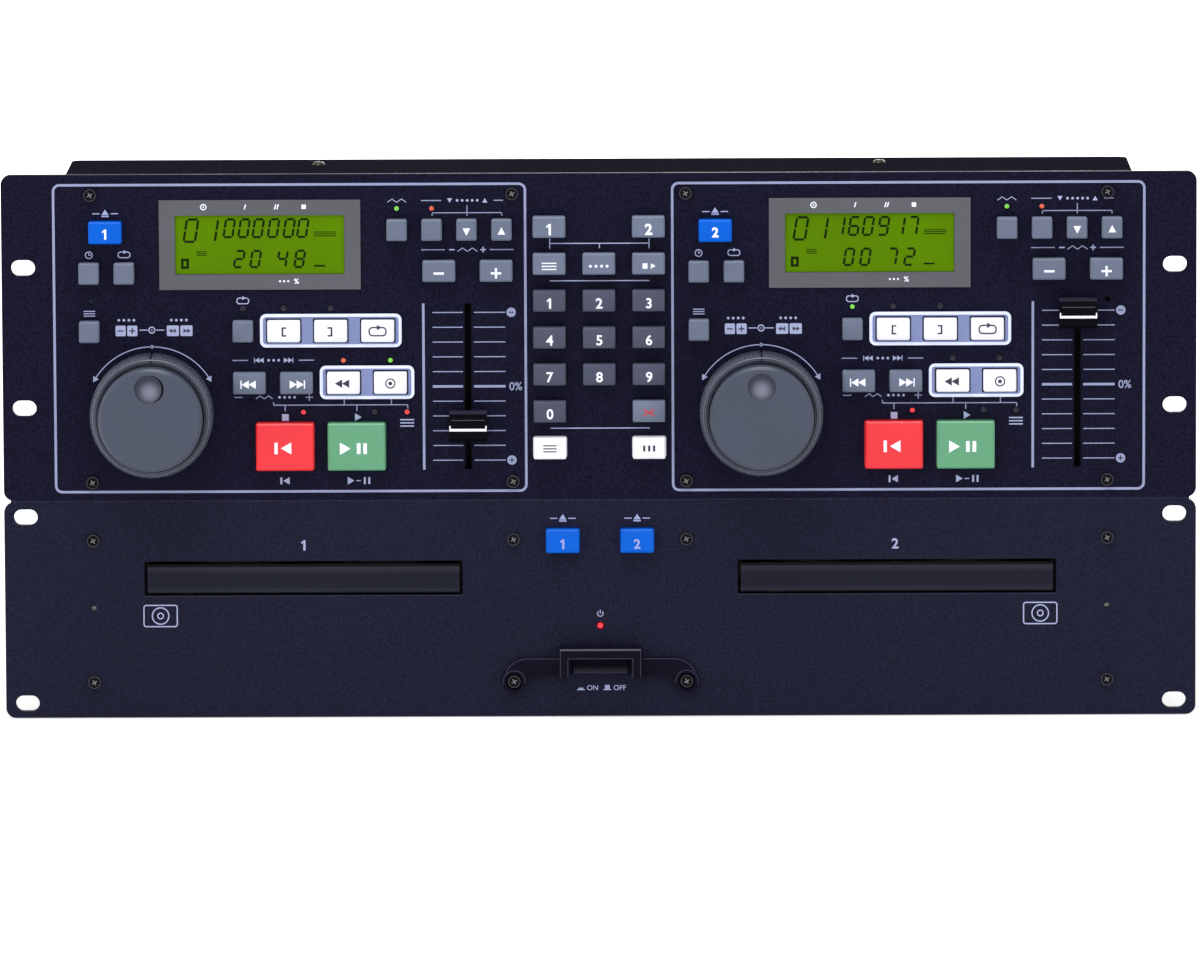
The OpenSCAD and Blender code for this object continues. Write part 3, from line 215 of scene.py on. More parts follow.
paper_white = bpy.data.materials.new("paper_white")
paper_white.use_nodes = True
tree = paper_white.node_tree
shader = tree.nodes["Principled BSDF"]
shader.inputs["Base Color"].default_value = (0.9, 0.9, 0.9, 1)
shader.inputs["Roughness"].default_value = 0.9
shader.inputs["Emission Color"].default_value = (1, 1, 1, 1)
place = tree.nodes.new("ShaderNodeTexCoord")
split = tree.nodes.new("ShaderNodeSeparateXYZ")
tree.links.new(place.outputs["Object"], split.inputs["Vector"])
depth_glow = remap(tree, split.outputs["Y"], GLOW_NEAR, GLOW_FAR, PAPER_GLOW, 1)
glow = tree.nodes.new("ShaderNodeMath")
glow.operation = "MULTIPLY"
tree.links.new(depth_glow, glow.inputs[1])
tree.links.new(seen_directly(tree), glow.inputs[0])
tree.links.new(glow.outputs[0], shader.inputs["Emission Strength"])

bpy.ops.object.select_all(action="DESELECT")
bpy.ops.mesh.primitive_plane_add(size=1)
paper = bpy.context.object
paper.name = "paper"
bpy.ops.object.mode_set(mode="EDIT")
bpy.ops.transform.resize(value=(PAPER_WIDE, PAPER_FAR - PAPER_NEAR, 1))
bpy.ops.transform.translate(value=(0, (PAPER_FAR + PAPER_NEAR) / 2, 0))
bpy.ops.object.mode_set(mode="OBJECT")
paper.data.materials.append(paper_white)
bpy.context.scene.view_settings.view_transform = "Standard"
print("paper", [round(v, 2) for v in paper.dimensions])

# %% [markdown]
# ## Modelling helpers
#
# Everything that this notebook adds is made as by hand: a primitive is put at its place, given
# its size, and shaped in edit mode. `start` opens an empty mesh, each helper below adds one
# plain form to it, and `finish` closes it, gives it its material and says which body carries it.
# Flat forms face the front, since nearly all of them lie on a panel or on a key.

# %% Start and finish a piece
FRONTWARDS = (math.pi / 2, 0, 0)
WELD = 0.001


def start(name):
    """An empty mesh object, open in edit mode."""
    bpy.ops.object.select_all(action="DESELECT")
    piece = bpy.data.objects.new(name, bpy.data.meshes.new(name))
    bpy.context.collection.objects.link(piece)
    bpy.context.view_layer.objects.active = piece
    piece.select_set(True)
    bpy.ops.object.mode_set(mode="EDIT")
    return piece


def weld():
    """Selects all of the open mesh and merges the points that lie in one place."""
    bpy.ops.mesh.select_all(action="SELECT")
    bpy.ops.mesh.remove_doubles(threshold=WELD * MM)


def finish(piece, body, material, crease=30):
    """Closes a piece, smooths what bends less than crease degrees, and puts it on its body."""
    weld()
    bpy.ops.mesh.normals_make_consistent(inside=False)
    bpy.ops.object.mode_set(mode="OBJECT")
    bpy.ops.object.shade_smooth_by_angle(angle=math.radians(crease))
    piece.data.materials.append(material)
    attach(piece, body)
    print(f"{piece.name}: {len(piece.data.polygons)} faces on {body}")

# %% [markdown]
# ### Selecting and pulling
#
# In edit mode a person clicks on what the next tool should change. In a script, `pick` does that
# by a test of each point's, edge's or face's place. `pull` extrudes what is selected towards the
# viewer, and `draw_in` makes it narrower and lower, round its own middle.

# %% Select, pull and draw in
def pick(kind, test):
    """Selects the verts, edges or faces of the open mesh whose middle passes the test."""
    bpy.ops.mesh.select_mode(type={"verts": "VERT", "edges": "EDGE", "faces": "FACE"}[kind])
    bpy.ops.mesh.select_all(action="DESELECT")
    data = bpy.context.object.data
    mesh = bmesh.from_edit_mesh(data)
    for part in getattr(mesh, kind):
        if kind == "verts":
            middle = part.co
        else:
            middle = sum((v.co for v in part.verts), part.verts[0].co * 0) / len(part.verts)
        part.select_set(test(middle, part))
    mesh.select_flush_mode()
    bmesh.update_edit_mesh(data)


def pick_all_faces():
    """Selects every face of the open mesh."""
    bpy.ops.mesh.select_mode(type="FACE")
    bpy.ops.mesh.select_all(action="SELECT")


def pull(rise):
    """Extrudes what is selected by rise millimetres out of the panel, or into it below zero."""
    bpy.ops.mesh.extrude_region_move(TRANSFORM_OT_translate={"value": (0, -rise * MM, 0)})


def draw_in(share):
    """Scales what is selected to that share of its width and height."""
    bpy.ops.transform.resize(value=(share, 1, share))

# %% [markdown]
# ### Flat forms
#
# All print, and the outline of most solid pieces, is put together from these few forms: bars,
# signs of one or two bars, strokes at an angle, discs, rings, rounded rectangles, triangles and
# arcs. An outline is made from a filled form by insetting its face and deleting the middle.

# %% Flat forms
def bar(x0, z0, x1, z1, out=0.0):
    """A flat rectangle between two opposite corners."""
    place = at((x0 + x1) / 2, (z0 + z1) / 2, out)
    bpy.ops.mesh.primitive_plane_add(size=1, rotation=FRONTWARDS, location=place)
    bpy.ops.transform.resize(value=(abs(x1 - x0) * MM, 1, abs(z1 - z0) * MM))


def stroke(x0, z0, x1, z1, width, out=0.0):
    """A flat line of that width from one point to another."""
    place = at((x0 + x1) / 2, (z0 + z1) / 2, out)
    length = math.hypot(x1 - x0, z1 - z0)
    bpy.ops.mesh.primitive_plane_add(size=1, rotation=FRONTWARDS, location=place)
    bpy.ops.transform.resize(value=(length * MM, 1, width * MM))
    slope = math.atan2(z1 - z0, x1 - x0)
    bpy.ops.transform.rotate(value=slope, orient_axis="Y", center_override=place)


def minus_sign(x, z, reach, half, out=0.0):
    """A minus. reach is half of its length, and half is half of its thickness."""
    bar(x - reach, z - half, x + reach, z + half, out)


def plus_sign(x, z, reach, half, out=0.0):
    """A plus, measured like the minus."""
    minus_sign(x, z, reach, half, out)
    bar(x - half, z - reach, x + half, z + reach, out)


def disc(x, z, radius, out=0.0, sides=32):
    """A flat disc."""
    bpy.ops.mesh.primitive_circle_add(
        vertices=sides, radius=radius * MM, fill_type="NGON",
        rotation=FRONTWARDS, location=at(x, z, out))


def hollow(width):
    """Turns the flat form just added into its own outline, width wide."""
    bpy.ops.mesh.inset(thickness=width * MM)
    bpy.ops.mesh.delete(type="FACE")


def ring(x, z, radius, width, out=0.0, sides=48):
    """A flat ring, measured to its outside."""
    disc(x, z, radius, out, sides)
    hollow(width)


def rounded(x0, z0, x1, z1, radius, out=0.0, segments=5):
    """A flat rectangle with round corners."""
    bar(x0, z0, x1, z1, out)
    bpy.ops.mesh.bevel(offset=radius * MM, segments=segments, affect="VERTICES")


def triangle(x, z, radius, turn, out=0.0, flatten=1.0):
    """A flat triangle whose point is turned that many degrees from straight up, clockwise."""
    place = at(x, z, out)
    bpy.ops.mesh.primitive_circle_add(
        vertices=3, radius=radius * MM, fill_type="NGON",
        rotation=(math.pi / 2, math.radians(turn), 0), location=place)
    bpy.ops.transform.resize(value=(flatten, 1, 1))


def arc(x, z, radius, width, half_angle, out=0.0):
    """A flat arc over the point x, z, that reaches half_angle degrees to each side of the top."""
    ring(x, z, radius, width, out, sides=144)
    middle = at(x, z, out)

    def below(v, _):
        across, up = v.x - middle[0], v.z - middle[2]
        near = math.hypot(across, up) < (radius + width) * MM
        return near and abs(math.degrees(math.atan2(across, up))) > half_angle

    pick("verts", below)
    bpy.ops.mesh.delete(type="VERT")

# %% [markdown]
# ## Numerals
#
# Plain numbers on keys are made from text, which Blender fills as flat faces. The text becomes a
# mesh, is scaled to the height that the panel's numbers have, and is joined to the piece that is
# being drawn. A little offset makes the strokes bold, as they are on the real keys. Blender's own
# font has a plain bar for a one, so a lone one is drawn as a bar with a flag.

# %% Numerals
BOLD = 0.022


def numeral(words, x, z, height, out=0.0, bold=BOLD):
    """Adds plain digits, or a sign such as 0%, of that height around the point x, z."""
    if words == "1":
        bar(x - 0.05 * height, z - height / 2, x + 0.16 * height, z + height / 2, out)
        stroke(x - 0.24 * height, z + 0.2 * height, x, z + 0.42 * height, 0.15 * height, out)
        return
    piece = bpy.context.object
    bpy.ops.object.mode_set(mode="OBJECT")
    bpy.ops.object.select_all(action="DESELECT")
    bpy.ops.object.text_add(rotation=FRONTWARDS)
    text = bpy.context.object.data
    text.body = words
    text.align_x = "CENTER"
    text.align_y = "CENTER"
    text.offset = bold
    text.resolution_u = 6
    bpy.ops.object.convert(target="MESH")
    glyphs = bpy.context.object
    heights = [v.co.y for v in glyphs.data.vertices]
    widths = [v.co.x for v in glyphs.data.vertices]
    size = height * MM / (max(heights) - min(heights))
    glyphs.data.transform(Matrix.Translation(
        (-(max(widths) + min(widths)) / 2, -(max(heights) + min(heights)) / 2, 0)))
    glyphs.scale = (size, size, size)
    glyphs.location = at(x, z, out)
    bpy.ops.object.transform_apply(location=True, rotation=True, scale=True)
    piece.select_set(True)
    bpy.context.view_layer.objects.active = piece
    bpy.ops.object.join()
    bpy.ops.object.mode_set(mode="EDIT")

# %% [markdown]
# ## Print
#
# The print on the panels and keys is a layer of ink. Each print is drawn flat on the surface that
# carries it, and then given a thickness of a twentieth of a millimetre, so that it lies on the
# surface instead of flickering in it. Ink that is printed on a key must move with that key, so
# each moving body gets a print of its own.

# %% Ink
INK = 0.05


def lay_ink(piece, body, material):
    """Gives the flat forms of a piece the thickness of ink and finishes it."""
    pick_all_faces()
    pull(INK)
    finish(piece, body, material)

# %% [markdown]
# ## Materials
#
# Colours are written as a screen shows them, in steps of 255 for red, green and blue. Blender
# reckons with linear light, so each colour is turned into that first.

# %% Colours
def colour_of(red, green, blue):
    """The linear colour of an sRGB one that is given in steps of 255."""
    def linear(step):
        c = step / 255
        return c / 12.92 if c <= 0.04045 else ((c + 0.055) / 1.055) ** 2.4
    return (linear(red), linear(green), linear(blue), 1)


def darker(colour, share):
    """A colour with its light scaled to that share."""
    return (colour[0] * share, colour[1] * share, colour[2] * share, 1)

# %% [markdown]
# ### Painted and moulded surfaces
#
# Real paint and plastic are never one flat colour. `paint` mixes two scales of noise: a fine one,
# the grain of the paint or of the moulded skin, that also lifts the surface a little, and a wide
# one, the slight unevenness of a surface that has been handled. All patterns read Object
# coordinates, so they stay where they are when the piece moves.

# %% Painted and moulded surfaces
NOISE_LOW = 0.3
NOISE_HIGH = 0.7
WIDE_NOISE = 60
COAT_ROUGHNESS = 0.12
ROUGHNESS_SWING = 0.12
BUMP_HEIGHT = 0.1


def paint(name, rgb, roughness=0.5, metallic=0.0, grain=0.5, speckle=0.12, mottle=0.08,
          relief=0.15, shine=0.3, coat=0.0, lit=0.0):
    """A procedural finish. grain is the size of its specks in millimetres, speckle and mottle
    are how much the fine and the wide noise darken it, relief is the height of the grain, shine
    is how much the surface mirrors and lit is how much light it gives."""
    material = bpy.data.materials.new(name)
    material.use_nodes = True
    tree = material.node_tree
    shader = tree.nodes["Principled BSDF"]
    shader.inputs["Metallic"].default_value = metallic
    shader.inputs["Specular IOR Level"].default_value = shine
    shader.inputs["Coat Weight"].default_value = coat
    shader.inputs["Coat Roughness"].default_value = COAT_ROUGHNESS
    place = tree.nodes.new("ShaderNodeTexCoord")

    def noise(size, detail):
        pattern = tree.nodes.new("ShaderNodeTexNoise")
        pattern.inputs["Scale"].default_value = 1 / (size * MM)
        pattern.inputs["Detail"].default_value = detail
        tree.links.new(place.outputs["Object"], pattern.inputs["Vector"])
        return pattern.outputs["Fac"]

    def spread(value, low, high):
        return remap(tree, value, NOISE_LOW, NOISE_HIGH, low, high)

    fine = noise(grain, 3)
    wide = noise(WIDE_NOISE * grain, 4)
    colour = colour_of(*rgb)
    body = tree.nodes.new("ShaderNodeMix")
    body.data_type = "RGBA"
    body.inputs["A"].default_value = darker(colour, 1 - speckle)
    body.inputs["B"].default_value = darker(colour, 1 + speckle)
    tree.links.new(spread(fine, 0, 1), body.inputs["Factor"])
    worn = tree.nodes.new("ShaderNodeMix")
    worn.data_type = "RGBA"
    worn.blend_type = "MULTIPLY"
    worn.inputs["Factor"].default_value = 1
    shade = tree.nodes.new("ShaderNodeCombineColor")
    for channel in ("Red", "Green", "Blue"):
        tree.links.new(spread(wide, 1 - mottle, 1), shade.inputs[channel])
    tree.links.new(body.outputs["Result"], worn.inputs["A"])
    tree.links.new(shade.outputs["Color"], worn.inputs["B"])
    tree.links.new(worn.outputs["Result"], shader.inputs["Base Color"])
    smoothest, roughest = roughness * (1 - ROUGHNESS_SWING), roughness * (1 + ROUGHNESS_SWING)
    tree.links.new(spread(wide, smoothest, roughest), shader.inputs["Roughness"])
    if relief:
        bump = tree.nodes.new("ShaderNodeBump")
        bump.inputs["Strength"].default_value = relief
        bump.inputs["Distance"].default_value = BUMP_HEIGHT * MM
        tree.links.new(fine, bump.inputs["Height"])
        tree.links.new(bump.outputs["Normal"], shader.inputs["Normal"])
    if lit:
        tree.links.new(worn.outputs["Result"], shader.inputs["Emission Color"])
        shader.inputs["Emission Strength"].default_value = lit
    return material

# %% [markdown]
# ### Finishes that change
#
# Some finishes change over a surface, where it is rubbed or turns to the light. `blend` mixes a
# second colour over the first one by any value of the surface, and `fade` uses the height for
# that value, from one height, where nothing has changed, to another, where the change is full.

# %% Finishes that change over a surface
def blend(material, value, start_at, full_at, rgb):
    """Mixes another colour in, from none where value is start_at to all where it is full_at."""
    tree = material.node_tree
    base = tree.nodes["Principled BSDF"].inputs["Base Color"]
    share = remap(tree, value, start_at * MM, full_at * MM, kind="SMOOTHSTEP")
    mix = tree.nodes.new("ShaderNodeMix")
    mix.data_type = "RGBA"
    mix.inputs["B"].default_value = colour_of(*rgb)
    tree.links.new(share, mix.inputs["Factor"])
    tree.links.new(base.links[0].from_socket, mix.inputs["A"])
    tree.links.new(mix.outputs["Result"], base)


def fade(material, start_at, full_at, rgb):
    """Mixes another colour in by the height over the table, in millimetres."""
    tree = material.node_tree
    place = tree.nodes.new("ShaderNodeTexCoord")
    split = tree.nodes.new("ShaderNodeSeparateXYZ")
    tree.links.new(place.outputs["Object"], split.inputs["Vector"])
    blend(material, split.outputs["Z"], start_at, full_at, rgb)

# %% [markdown]
# ### Dressing the frame
#
# The frame's nodes come with plain materials. `dress` puts a finish in every slot of a node, and
# `each` names the nodes that come in pairs, one for each deck or tray.

# %% Dress the frame's nodes
def dress(material, *names):
    """Gives the frame's nodes that material."""
    for name in names:
        for place in nodes[name].material_slots:
            place.material = material
    print(f"{material.name}: {', '.join(names)}")


def each(pattern):
    """The names of both nodes of a kind, such as cue_key_1 and cue_key_2."""
    return [pattern.format(n) for n in DECKS]

# %% [markdown]
# ## Panels and case
#
# The two front panels are thick aluminium, painted a blue that is nearly black on the controller
# and a little lighter on the drive. The sheet steel behind them is plain zinc-plated, with black
# covers.

# %% Panels and case
panel_control = paint("panel_control", (21, 20, 43), 0.5, grain=1.1, speckle=0.6, relief=0.3,
                      shine=0.06)
panel_drive = paint("panel_drive", (32, 33, 54), 0.5, grain=1.1, speckle=0.35, relief=0.3,
                    shine=0.06)
case_steel = paint("case_steel", (30, 29, 38), 0.85, grain=0.7, speckle=0.2, relief=0.3, shine=0.0)
chassis_steel = paint("chassis_steel", (150, 152, 150), 0.38, 0.8, grain=0.8, relief=0.1)
dress(panel_control, "control_front_panel")
dress(panel_drive, "drive_front_panel")
dress(case_steel, "drive_top_cover", "control_case", "control_top_cover")
dress(chassis_steel, "drive_chassis")

# %% [markdown]
# ## Metal, rubber and plastic
#
# Screws, sockets, feet, frames, gears and boards show only as small spots, from behind, or with a
# tray open, but they get a finish as well, because the object is seen from all sides. Bare metal
# is fully metallic, blackened screws mostly so, and rubber is rough.

# %% Small parts of metal, rubber and plastic
screw_metal = paint("screw_metal", (60, 58, 52), 0.25, 0.8, grain=0.3, mottle=0.3, relief=0.2)
rubber = paint("rubber", (26, 26, 28), 0.85, grain=0.4, relief=0.4)
black_plastic = paint("black_plastic", (17, 15, 30), 0.5, grain=0.35, relief=0.25, shine=0.05)
frame_plastic = paint("frame_plastic", (38, 38, 42), 0.55, grain=0.4, relief=0.3, shine=0.2)
gear_plastic = paint("gear_plastic", (214, 212, 204), 0.45, grain=0.3, speckle=0.04)
bright_metal = paint("bright_metal", (176, 178, 182), 0.25, 1.0, grain=0.3, relief=0.08)
socket_metal = paint("socket_metal", (188, 186, 178), 0.25, 1.0, grain=0.3, relief=0.08)
board_green = paint("board_green", (28, 84, 58), 0.45, grain=2.5, speckle=0.25, relief=0.1)
core_steel = paint("core_steel", (92, 88, 82), 0.5, 0.6, grain=0.5, speckle=0.2, relief=0.3)
fader_steel = paint("fader_steel", (14, 14, 18), 0.5, grain=0.5, relief=0.2, shine=0.1)
dress(screw_metal, "fixing_screws")
dress(rubber, "rubber_feet")
dress(black_plastic, "mains_inlet", "power_guard")
dress(frame_plastic, "loader_frames", "jog_encoders")
dress(gear_plastic, *each("tray_gear_{}"))
dress(frame_plastic, *each("turntable_{}"))
dress(bright_metal, *each("traverse_{}"))
dress(black_plastic, *each("pickup_{}"))
dress(socket_metal, "rear_sockets")
dress(board_green, "circuit_boards")
dress(core_steel, "power_transformer")
dress(fader_steel, "fader_bodies")

# %% [markdown]
# ## Trays
#
# The tray fronts are dark, slightly crowned bars. They are painted paler above, as a highlight
# where the crown turns up to the light, and below, where it meets the light from the table, and
# painted black at their rims, as the shade where they stand back in the slot. Each of these tones
# is a fade by height, and the later ones lie over the earlier ones. The tray behind is moulded in
# a dark plastic too, a little lighter than its front.

# %% Trays
TRAY_RIM_SHADE = (5, 4, 12)
tray_plastic = paint("tray_plastic", (46, 46, 54), 0.5, grain=0.5, mottle=0.15, relief=0.3,
                     shine=0.2)
tray_front_finish = paint("tray_front_finish", (27, 29, 44), 0.4, grain=0.8, relief=0.2, shine=0.1)
door_low, door_high = [corner.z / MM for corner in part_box("tray_front_1")]
# These fades paint a highlight high on the crown, a fainter one low on it, and shade at the rims.
fade(tray_front_finish, door_high - 4.5, door_high - 1.2, (50, 48, 60))
fade(tray_front_finish, door_low + 3.0, door_low + 1.0, (39, 41, 53))
fade(tray_front_finish, door_high - 1.25, door_high - 0.95, TRAY_RIM_SHADE)
fade(tray_front_finish, door_low + 0.6, door_low + 0.4, TRAY_RIM_SHADE)
dress(tray_plastic, *each("tray_{}"))
dress(tray_front_finish, *each("tray_front_{}"))
print("tray front reaches", round(front_of("tray_front_1"), 2), "mm")

# %% [markdown]
# ## Keys
#
# The keys are satin plastic: grey for most, dark grey for the number keys, blue for open and
# close, and translucent white, red and green for the keys with a lamp behind them. Translucent
# keys look lit from inside, so these finishes give a little light of their own.

# %% Keys
key_grey = paint("key_grey", (114, 123, 147), 0.4, grain=0.25, speckle=0.05, relief=0.12)
key_light = paint("key_light", (118, 128, 153), 0.4, grain=0.25, speckle=0.05, relief=0.12)
key_dark = paint("key_dark", (78, 82, 104), 0.4, grain=0.25, speckle=0.05, relief=0.12)
key_white = paint("key_white", (238, 238, 246), 0.4, grain=0.25, speckle=0.02, lit=0.35)
key_blue = paint("key_blue", (0, 102, 226), 0.3, grain=0.25, speckle=0.05, shine=0.08, coat=0.08,
                 lit=0.1)
key_red = paint("key_red", (240, 42, 52), 0.32, grain=0.25, speckle=0.04, coat=0.3, lit=0.2)
key_green = paint("key_green", (98, 168, 126), 0.32, grain=0.25, speckle=0.04, coat=0.3, lit=0.1)
button_grey = paint("button_grey", (20, 18, 32), 0.5, grain=0.3, relief=0.2, shine=0.02)
dress(key_grey, *each("time_keys_{}"), *each("pitch_keys_{}"), *each("bend_keys_{}"),
      *each("track_keys_{}"))
dress(key_light, "memory_keys")
dress(key_dark, "number_keys")
dress(key_white, "link_keys", *each("loop_keys_{}"))
dress(key_blue, *each("open_key_{}"), *each("tray_key_{}"))
dress(key_red, *each("cue_key_{}"))
dress(key_green, *each("play_key_{}"))
dress(button_grey, "power_button")
print("keys reach", round(front_of("cue_key_1"), 2), "mm")

# %% [markdown]
# ## Displays, dials and faders
#
# A liquid crystal display is lit from behind, unevenly, so it gives a little light and has wide
# mottles. Dials and rings are satin slate plastic. A fader cap is black, and its upper edge, which
# turns up to the light, is paler: a fade by height that starts just under the top of each cap.

# %% Displays, dials and faders
bezel = paint("bezel", (102, 102, 110), 0.45, grain=0.4, speckle=0.04, shine=0.2)
display_green = paint("display_green", (93, 137, 0), 0.3, grain=1, speckle=0.03, mottle=0.22,
                      relief=0, shine=0.05, lit=0.12)
surround_silver = paint("surround_silver", (140, 152, 200), 0.4, grain=0.4, speckle=0.05)
dial_slate = paint("dial_slate", (75, 82, 100), 0.28, grain=0.3, speckle=0.05, relief=0.1)
ring_slate = paint("ring_slate", (88, 93, 108), 0.3, grain=0.3, speckle=0.05, relief=0.1)
dress(bezel, "display_frames")
dress(display_green, "display_windows")
dress(surround_silver, "key_surrounds")
dress(dial_slate, *each("jog_dial_{}"))
dress(ring_slate, *each("jog_ring_{}"))
for n in DECKS:
    cap_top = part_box(f"fader_cap_{n}")[1].z / MM
    cap_black = paint(f"cap_black_{n}", (8, 6, 14), 0.45, grain=0.3, relief=0.2, shine=0.04)
    fade(cap_black, cap_top - 0.5, cap_top - 0.1, (50, 49, 64))
    dress(cap_black, f"fader_cap_{n}")
print("dial reaches", round(front_of("jog_dial_1"), 2), "mm")

# %% [markdown]
# ## Print on the controller
#
# The controller is lettered in a pale lavender. Lines tie the keys that work together, a rounded
# frame goes round each deck, an arc with two arrowheads shows which way the shuttle ring turns,
# and a scale runs along the pitch fader. Small pictograms show what each key does, because a
# picture is read in any language.
#
# `deck_x` and `deck_z` put a place of a deck's own layout on the panel. The places of the keys
# are named here, since print, signs and lamps all keep to them.

# %% Places of a deck
OPEN_KEY = (-76.1, 109.3)
TIME_KEYS_X = (-82.8, -68.6)
PITCH_KEYS_X = (41.6, 55.7, 69.8, 83.9)
PITCH_KEYS_Z = 110.5
BEND_KEYS_X = (58.55, 81.65)
BEND_KEYS_Z = 93.8
LOOP_KEY_X = -20.8
LOOP_KEYS_X = (-4.3, 14.7, 33.7)
LOOP_KEYS_Z = 69.5
TRACK_KEYS_X = (-18.3, 0.7, 19.7, 38.7)
TRACK_KEYS_Z = 48.4
PLAY_KEYS_Z = 22.5
CUE_X = -4.1
PLAY_X = 24.9


def deck_x(n, x):
    """A place on deck n, counted from the deck's middle line, on the whole panel."""
    return side(n) * DECK_X + x


def deck_z(z):
    """A height above the lower edge of the controller's rack space, counted from the table."""
    return CONTROL_Z + z


# The pale inks give a faint glow of their own, painted light that keeps them bright; the dark ink
# gives none.
print_ink = paint("print_ink", (178, 186, 226), 0.5, grain=0.4, speckle=0.04, relief=0.05, lit=0.1)
line_ink = paint("line_ink", (160, 168, 208), 0.5, grain=0.4, speckle=0.04, relief=0.05, lit=0.06)
dark_ink = paint("dark_ink", (62, 62, 78), 0.5, grain=0.4, speckle=0.04, relief=0.05)
white_ink = paint("white_ink", (240, 242, 255), 0.5, grain=0.4, speckle=0.02, relief=0.05, lit=0.3)
print("deck 1 starts at x =", deck_x(1, -97.5))

# %% [markdown]
# ### Frames and lines
#
# Each line is a thin rectangle. The frame round a deck is a rectangle with its corners bevelled,
# inset by the width of the line, with the middle deleted.

# %% Frames and lines of a deck
LINE = 0.4
FRAME_LINE = 1.0
FRAME_CORNER = 3
FRAME_X = (-97.5, 93.9)
FRAME_Z = (3.4, 129.3)
PITCH_LINE_Z = 122.1
BEND_LINE_Z = 102.1
TRACK_LINE_Z = 57.4
MODE_LINE_Z = 39.1
TRIM_Z = 42.3
TRIM_MINUS_X = -22.9
TRIM_PLUS_X = 5.8
# A level line is its two ends and its height, an upright one its place and its two heights.
LEVEL_LINES = ((51.4, 59.6, PITCH_LINE_Z), (80.8, 84.6, PITCH_LINE_Z), (51.4, 60.9, BEND_LINE_Z),
               (79.1, 88.7, BEND_LINE_Z), (-25.1, -18.9, TRACK_LINE_Z), (1.6, 7.8, TRACK_LINE_Z),
               (55.9, 84.0, 117.1), (-8.7, 45.6, MODE_LINE_Z))
UPRIGHT_LINES = ((55.9, 115.8, 116.9), (84.0, 115.8, 116.9), (70.0, 115.8, 120.1),
                 (-8.7, 39.3, 40.3), (-4.0, 36.6, 38.9), (19.9, 39.3, 41.8),
                 (25.0, 36.6, 38.9), (39.0, 39.3, 41.8), (45.6, 37.6, 38.9))


def level_line(n, x0, x1, z, width=LINE):
    """A level line on deck n."""
    bar(deck_x(n, x0), deck_z(z - width / 2), deck_x(n, x1), deck_z(z + width / 2))


def upright_line(n, x, z0, z1, width=LINE):
    """An upright line on deck n."""
    bar(deck_x(n, x - width / 2), deck_z(z0), deck_x(n, x + width / 2), deck_z(z1))


def deck_lines(n):
    """The frame, the lines, and the minus and plus under the track keys."""
    near, far = FRAME_X if n == 1 else (-FRAME_X[1], -FRAME_X[0])
    rounded(deck_x(n, near), deck_z(FRAME_Z[0]), deck_x(n, far), deck_z(FRAME_Z[1]), FRAME_CORNER)
    hollow(FRAME_LINE)
    for x0, x1, z in LEVEL_LINES:
        level_line(n, x0, x1, z)
    for x, z0, z1 in UPRIGHT_LINES:
        upright_line(n, x, z0, z1)
    minus_sign(deck_x(n, TRIM_MINUS_X), deck_z(TRIM_Z), 1.7, LINE / 2)
    plus_sign(deck_x(n, TRIM_PLUS_X), deck_z(TRIM_Z), 1.5, LINE / 2)


for n in DECKS:
    piece = start(f"deck_lines_{n}")
    deck_lines(n)
    lay_ink(piece, "cabinet", line_ink)

# %% [markdown]
# ### The scale of the pitch fader
#
# Eleven ticks stand on each side of the slot, the middle one thicker, with 0% beside it. The
# ticks are evenly spaced over the fader's travel, so a loop draws them. Each end of it has a
# disc, with a dark minus or plus on it, which is a second layer of ink. A thicker upright line
# parts the scale from the keys.

# %% Fader scale
FADER_X = 70.1
FADER_Z = 46.5
WIDE_LINE = 1.0
SIDE_LINE = (52.1, 12.6, 80.3)
END_SIGN_X = 87.6
END_SIGN_RADIUS = 1.9
END_SIGN_REACH = 1.05
END_SIGN_LINE = 0.22
ZERO_X = 89.3
TICK_STEP = 6.02
HALF_TICKS = 5
TICK_SIDES = ((-14.3, -2.1), (2.4, 15.1))


def fader_scale(n):
    """The pale part of the scale."""
    upright_line(n, *SIDE_LINE, WIDE_LINE)
    for k in range(-HALF_TICKS, HALF_TICKS + 1):
        width = LINE if k else WIDE_LINE
        for x0, x1 in TICK_SIDES:
            level_line(n, FADER_X + x0, FADER_X + x1, FADER_Z + k * TICK_STEP, width)
    numeral("0%", deck_x(n, ZERO_X), deck_z(FADER_Z), 3.3, bold=0.012)
    for k in (-HALF_TICKS, HALF_TICKS):
        disc(deck_x(n, END_SIGN_X), deck_z(FADER_Z + k * TICK_STEP), END_SIGN_RADIUS)


def fader_signs(n):
    """The dark minus and plus on the discs at the two ends of the scale."""
    x = deck_x(n, END_SIGN_X)
    low, high = [deck_z(FADER_Z + k * TICK_STEP) for k in (-HALF_TICKS, HALF_TICKS)]
    plus_sign(x, low, END_SIGN_REACH, END_SIGN_LINE, INK)
    minus_sign(x, high, END_SIGN_REACH, END_SIGN_LINE, INK)


for n in DECKS:
    piece = start(f"fader_scale_{n}")
    fader_scale(n)
    lay_ink(piece, "cabinet", line_ink)
    piece = start(f"fader_signs_{n}")
    fader_signs(n)
    lay_ink(piece, "cabinet", dark_ink)

# %% [markdown]
# ### The arc over the shuttle ring
#
# The arc is a ring with its lower part deleted, and with a dot on its top. An arrowhead is a
# circle of three vertices, turned along the arc's end. The boxes above it say that the ring
# steps and scans: pale boxes with dark signs on them, and a ringed dot between two lines.

